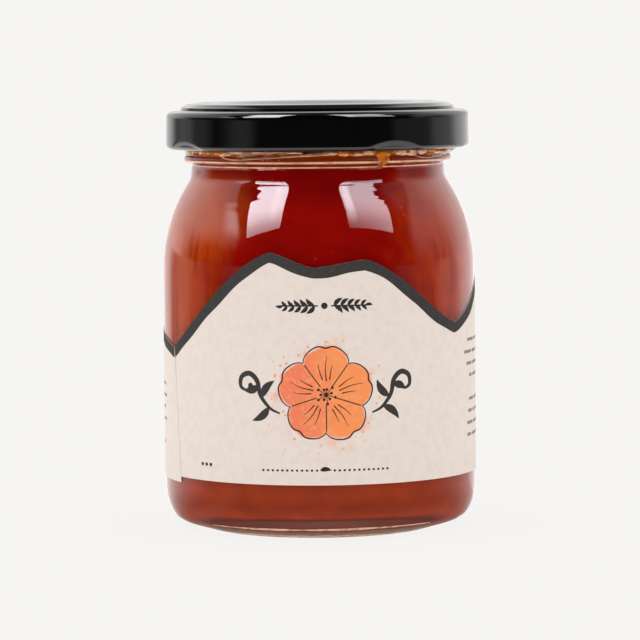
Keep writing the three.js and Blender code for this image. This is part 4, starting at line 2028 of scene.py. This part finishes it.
@dataclass
class Studio:
    """The pale floor, the soft light all round and the camera."""

    backdrop: str = "#F6F5F3"
    matt_floor: str = "#FAFAFA"
    soft_light: str = "#FFFEFC"
    room_light: str = "#FFFDFC"
    floor_front: float = -1.35
    floor_back: float = 30.0
    floor_half_width: float = 12.0
    floor_own_glow: float = 0.95
    # What gloss sees of the floor around the jar, and how far from the jar's axis that reaches
    near_gloss: float = 0.26
    near_beside: float = 4.2
    near_reach: tuple[float, float] = (0.5, 0.16)
    fill: float = 0.75
    fill_at_sides: float = 0.5
    fill_lean: float = -0.06
    camera_place: tuple[float, float, float] = (0.00014, -0.71, 0.0955)
    camera_pitch: float = -4.406
    camera_roll: float = 0.55
    lens: float = 200.25
    sensor: float = 36.0
    room: RoomInGloss = RoomInGloss()
    windows: tuple[SoftWindow, ...] = (
        SoftWindow(
            "left_window",
            ((-57.0, 20.0), (-31.0, 30.0), (-57.8, 80.0), (-107.7, 67.0)),
            power=17.5,
            foot_power=5.5,
            full_from=0.34,
            band=(0.74, 0.14, 2.5),
            bites=(
                (0.38, 0.0), (0.42, 0.05), (0.45, 0.17), (0.476, 0.28), (0.49, 0.21), (0.517, 0.14),
                (0.55, 0.04), (0.558, 0.2), (0.57, 0.24), (0.582, 0.1), (0.615, 0.04), (0.63, 0.12),
                (0.656, 0.04), (0.69, 0.1), (0.82, 0.05), (1.0, 0.05),
            ),
        ),
        SoftWindow(
            "right_window",
            ((25.0, 30.0), (61.0, 22.0), (98.1, 69.0), (30.4, 82.0)),
            power=9.6,
            foot_power=1.2,
            full_from=0.41,
            band=(0.12, 0.13, 7.5),
            foot_lean=4.0,
            bites=(
                (0.31, 0.0), (0.41, -0.07), (0.443, -0.15), (0.476, -0.26), (0.5, -0.23),
                (0.525, -0.12), (0.54, -0.1), (0.558, -0.2), (0.574, -0.12), (0.6, -0.04),
                (0.623, -0.14), (0.656, -0.02), (1.0, 0.0),
            ),
        ),
    )

    def world(self) -> None:
        """Light the scene evenly, with a dark room in front and pale walls behind for gloss."""
        world = bpy.data.worlds.new("soft_studio")
        bpy.context.scene.world = world
        world.use_nodes = True
        world.cycles.sampling_method = "NONE"
        tree = world.node_tree
        tree.nodes.clear()
        path = add_node(tree, "LightPath").outputs
        axes = add_node(
            tree, "SeparateXYZ", links={0: add_node(tree, "TexCoord").outputs["Generated"]}
        ).outputs
        side = work(tree, Step.ABSOLUTE, axes[0])
        soft = work(tree, Step.MULTIPLY_ADD, side, self.fill_at_sides, self.fill)
        soft = work(
            tree, Step.MULTIPLY, soft, work(tree, Step.MULTIPLY_ADD, axes[0], self.fill_lean, 1.0)
        )
        _, along, ahead = heading(tree, axes)
        mirror = self.room.strength(tree, along, ahead, axes[2])
        fill = add_node(tree, "Background", {"Color": linear(self.soft_light)}, {"Strength": soft})
        gloss = add_node(
            tree, "Background", {"Color": linear(self.room_light)}, {"Strength": mirror}
        )
        seen = add_node(tree, "Background", {"Color": linear(self.backdrop)})
        first = add_node(
            tree, "MixShader",
            links={0: path[Ray.GLOSSY.value], 1: seen.outputs[0], 2: gloss.outputs[0]},
        )
        both = add_node(
            tree, "MixShader",
            links={0: path[Ray.DIFFUSE.value], 1: first.outputs[0], 2: fill.outputs[0]},
        )
        add_node(tree, "OutputWorld", links={"Surface": both.outputs[0]})

    def floor(self) -> bpy.types.Object:
        """The pale floor, which glows a little itself so that the jar's shadow stays faint.

        Returns:
            The floor.
        """
        material = new_material("pale_matt_floor")
        tree = material.node_tree
        path = add_node(tree, "LightPath").outputs
        matt = add_node(tree, "BsdfDiffuse", {"Color": linear(self.matt_floor)})
        glow = add_node(tree, "Emission", {"Color": linear(self.backdrop)})
        both = add_node(
            tree, "MixShader", {0: self.floor_own_glow}, {1: matt.outputs[0], 2: glow.outputs[0]}
        )
        axes = add_node(
            tree, "SeparateXYZ", links={0: add_node(tree, "NewGeometry").outputs["Position"]}
        ).outputs
        away, along, ahead = heading(tree, axes)
        far = self.room.far_floor(tree, along, ahead)
        beside = work(
            tree, Step.MULTIPLY, work(tree, Step.EASE, ahead, (0.4, -0.7), (0.0, self.near_beside)),
            work(tree, Step.EASE, along, (-0.3, 0.3), (1.0, 0.6)),
        )
        near = work(tree, Step.EASE, away, self.near_reach, (0.0, self.near_gloss))
        near = work(tree, Step.MULTIPLY_ADD, near, beside, near)
        dim = add_node(
            tree, "Emission", {"Color": linear(self.room_light)},
            {"Strength": work(tree, Step.MAXIMUM, far, near)},
        )
        # Light bent by glass counts as gloss too, but sees the floor as it is
        mirrored = work(
            tree, Step.MULTIPLY, path[Ray.GLOSSY.value],
            work(tree, Step.SUBTRACT, 1.0, path[Ray.BENT.value]),
        )
        seen = add_node(
            tree, "MixShader", links={0: mirrored, 1: both.outputs[0], 2: dim.outputs[0]}
        )
        add_node(tree, "OutputMaterial", links={"Surface": seen.outputs[0]})
        x, front, back = self.floor_half_width, self.floor_front, self.floor_back
        corners = [(-x, front, 0), (x, front, 0), (x, back, 0), (-x, back, 0)]
        floor = add_sheet("pale_floor", corners, [(0, 1, 2, 3)], material)
        return floor

    def camera(self) -> bpy.types.Object:
        """The camera, nearly level with the jar and turned a little on its own axis.

        Returns:
            The camera.
        """
        pitch, roll = math.radians(self.camera_pitch), math.radians(self.camera_roll)
        ahead = Vector((0.0, math.cos(pitch), math.sin(pitch)))
        right = Vector((1.0, 0.0, 0.0))
        up = right.cross(ahead)
        turned = right * math.cos(roll) - up * math.sin(roll)
        over = up * math.cos(roll) + right * math.sin(roll)
        data = bpy.data.cameras.new("camera")
        data.lens = self.lens
        data.sensor_width = self.sensor
        camera = bpy.data.objects.new("camera", data)
        camera.matrix_world = Matrix.Translation(self.camera_place) @ Matrix(
            (turned, over, -ahead)
        ).transposed().to_4x4()
        bpy.context.scene.collection.objects.link(camera)
        bpy.context.scene.camera = camera
        return camera

    def build(self) -> None:
        """Set up floor, lights, camera and the plain view transform."""
        self.camera()
        self.world()
        self.floor()
        for window in self.windows:
            window.build()
        LightCard().build()
        bpy.context.scene.view_settings.view_transform = "Standard"


def main() -> None:
    """Build the jar, its jam, lid and label, and the studio."""
    logging.basicConfig(level=logging.INFO, format="%(name)s: %(message)s")
    Studio().build()
    jar = GlassJar()
    label = PaperLabel()
    ink = LabelPrint(label)
    wash = BlossomWash()
    painted_lines = PaintedGlassLines()
    black = PrintingInk("black_ink", "#231F20")
    outline = PrintingInk("thin_black_ink", "#33201A")
    slate = PrintingInk("slate_ink", "#302E2C")
    grey = PrintingInk("grey_ink", "#8E847E")
    pieces = [
        jar.build(FlintGlass()),
        Jam().build(jar, SetJam()),
        painted_lines.foot(jar, PaintedLightFinish("painted_foot_highlight_colour", "#E8B898", "#B87A56")),
        painted_lines.neck(jar, PaintedLightFinish("painted_neck_highlight_colour", "#F2B38E", "#C98462")),
        painted_lines.glow(jar, PaintedLightFinish("painted_jam_reflection_in_foot", "#8A4226", "#6C301A")),
        JAM_SMEARS.build(jar, ClottedSmear()),
        NECK_GLEAMS.build(jar, PaintedLightFinish("painted_neck_glint_colour", "#FFCBA4", "#E09A6A")),
        TwistOffLid().build(BlackEnamel()),
        label.build(UncoatedPaper(), wash),
        ink.hill_band(slate),
        ink.blossom(outline, wash),
        ink.tendrils(slate, wash),
        ink.title_sprig(black),
        ink.small_marks(black),
        ink.dash_rows(grey),
    ]
    for piece in pieces:
        LOG.info("%s: %d faces", piece.name, len(piece.data.polygons))


if __name__ == "__main__":
    main()
